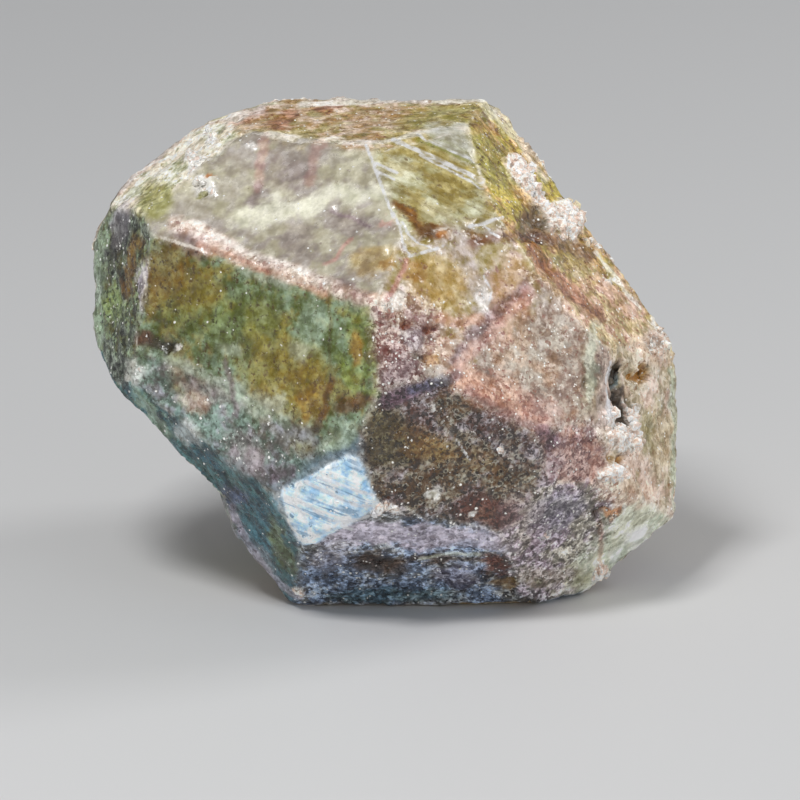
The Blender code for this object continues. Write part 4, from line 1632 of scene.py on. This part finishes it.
    def set_gloss(self):
        channel, nodes = self.channel, self.nodes
        shiny = (self.grit.other_value > SHINY_GRITS) * channel["grain"]
        roughness = channel["gloss"].between(*ROUGHNESS) - shiny * SHINY_GRIT_GLOSS
        roughening = (self.grain - GRAIN_LEVEL) * GRAIN_ROUGHENING
        roughness = nodes.math("ADD", roughness, roughening, clamp=True)
        nodes.feed(self.inputs["Roughness"], roughness.higher(self.crust * CRUST_ROUGHNESS))
        nodes.feed(self.inputs["Metallic"], channel["mirror"] * self.frost.span(*MIRROR_FROST))
        covered = self.crust.higher(self.frost * FROST_CLOUDING)
        clear = channel["clear"] * nodes.math("SUBTRACT", 1.0, covered)
        nodes.feed(self.inputs["Transmission Weight"], clear)
        self.inputs["IOR"].default_value = GARNET_IOR

    def set_bump(self):
        """Bump from all layers. Every grain of the surface is also a small facet, tilted its own way."""
        channel, nodes = self.channel, self.nodes
        height = (self.grain + self.grit.value * GRIT_HEIGHT) * channel["grain"]
        height = height - (self.hole + self.stain) * HOLE_DEPTH + (self.ring + self.glint) * RING_HEIGHT
        height = height + self.streaks * (channel["lined"] * STREAK_HEIGHT)
        height = height + self.crust * (self.fine * CRUST_HEIGHT)
        tilt = nodes.math("ADD", channel["grain"], self.crust, clamp=True) * FACET_TILT
        normal = nodes.make("NewGeometry", (), "Normal")
        for facet in (self.grit.colour, self.speck.colour):
            normal = nodes.tilted(normal, facet, tilt)
        bump = {"Strength": BUMP_STRENGTH, "Distance": BUMP_DISTANCE, "Height": height, "Normal": normal}
        nodes.feed(self.inputs["Normal"], nodes.make("Bump", bump))


def new_material(name):
    material = bpy.data.materials.new(name)
    material.use_nodes = True
    return material


def garnet_material():
    material = new_material("garnet")
    GarnetShader(material.node_tree)
    return material


# Stage

FLOOR_HALF = 400 * MM
FLOOR_COLOUR = (0.62, 0.62, 0.62, 1.0)
FLOOR_ROUGHNESS = 0.6
SKY_COLOUR = (0.9, 0.92, 0.95, 1.0)
SKY_STRENGTH = 0.3
CAMERA_DISTANCE = 120 * MM
CAMERA_CLIP = (1 * MM, 2000 * MM)
LIGHT_AIM_MM = (0, 0, 11)

# Square soft lights: place in mm, side in mm and power in watts.
LIGHTS = {
    "key": ((-55, -85, 185), 50, 0.25),
    "right_top": ((150, 60, 110), 70, 0.12),
    "right_fill": ((140, -130, 40), 90, 0.07),
    "left_low": ((-90, -170, 22), 90, 0.06),
}


def stage():
    mesh = bpy.data.meshes.new("floor")
    corners = [(x * FLOOR_HALF, y * FLOOR_HALF, 0.0) for x, y in ((-1, -1), (1, -1), (1, 1), (-1, 1))]
    mesh.from_pydata(corners, [], [(0, 1, 2, 3)])
    material = new_material("floor")
    inputs = material.node_tree.nodes["Principled BSDF"].inputs
    inputs["Base Color"].default_value = FLOOR_COLOUR
    inputs["Roughness"].default_value = FLOOR_ROUGHNESS
    mesh.materials.append(material)
    floor = add_object("floor", mesh)


def turn_towards(item, direction):
    item.rotation_euler = Vector(direction).to_track_quat("-Z", "Y").to_euler()


def light(name, place_mm, side_mm, power):
    data = bpy.data.lights.new(name, "AREA")
    data.shape = "SQUARE"
    data.size = side_mm * MM
    data.energy = power
    item = add_object(name, data)
    item.location = Vector(place_mm) * MM
    turn_towards(item, Vector(LIGHT_AIM_MM) * MM - item.location)


def camera():
    """A camera without perspective, whose frame is the photo's."""
    data = bpy.data.cameras.new("camera")
    data.type = "ORTHO"
    data.ortho_scale = IMAGE_SIDE_PX / PX_PER_MM * MM
    data.clip_start, data.clip_end = CAMERA_CLIP
    middle = IMAGE_SIDE_PX / 2
    right = (middle - CENTRE_PX[0]) / PX_PER_MM
    up = (CENTRE_PX[1] - middle) / PX_PER_MM
    target = np.array(CENTRE_MM) + VIEW_RIGHT * right + VIEW_UP * up
    item = add_object("camera", data)
    item.location = Vector(target * MM + TO_VIEWER * CAMERA_DISTANCE)
    turn_towards(item, -TO_VIEWER)
    bpy.context.scene.camera = item


def world():
    data = bpy.data.worlds.new("studio")
    data.use_nodes = True
    inputs = data.node_tree.nodes["Background"].inputs
    inputs["Color"].default_value = SKY_COLOUR
    inputs["Strength"].default_value = SKY_STRENGTH
    bpy.context.scene.world = data
    bpy.context.scene.view_settings.view_transform = "Standard"


crystal, grains = build_crystal()
garnet = garnet_material()
for piece in (crystal, grains):
    piece.data.materials.append(garnet)
    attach(piece, "root")
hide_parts(NODE)
stage()
world()
camera()
for light_name, (place, side, power) in LIGHTS.items():
    light(light_name, place, side, power)
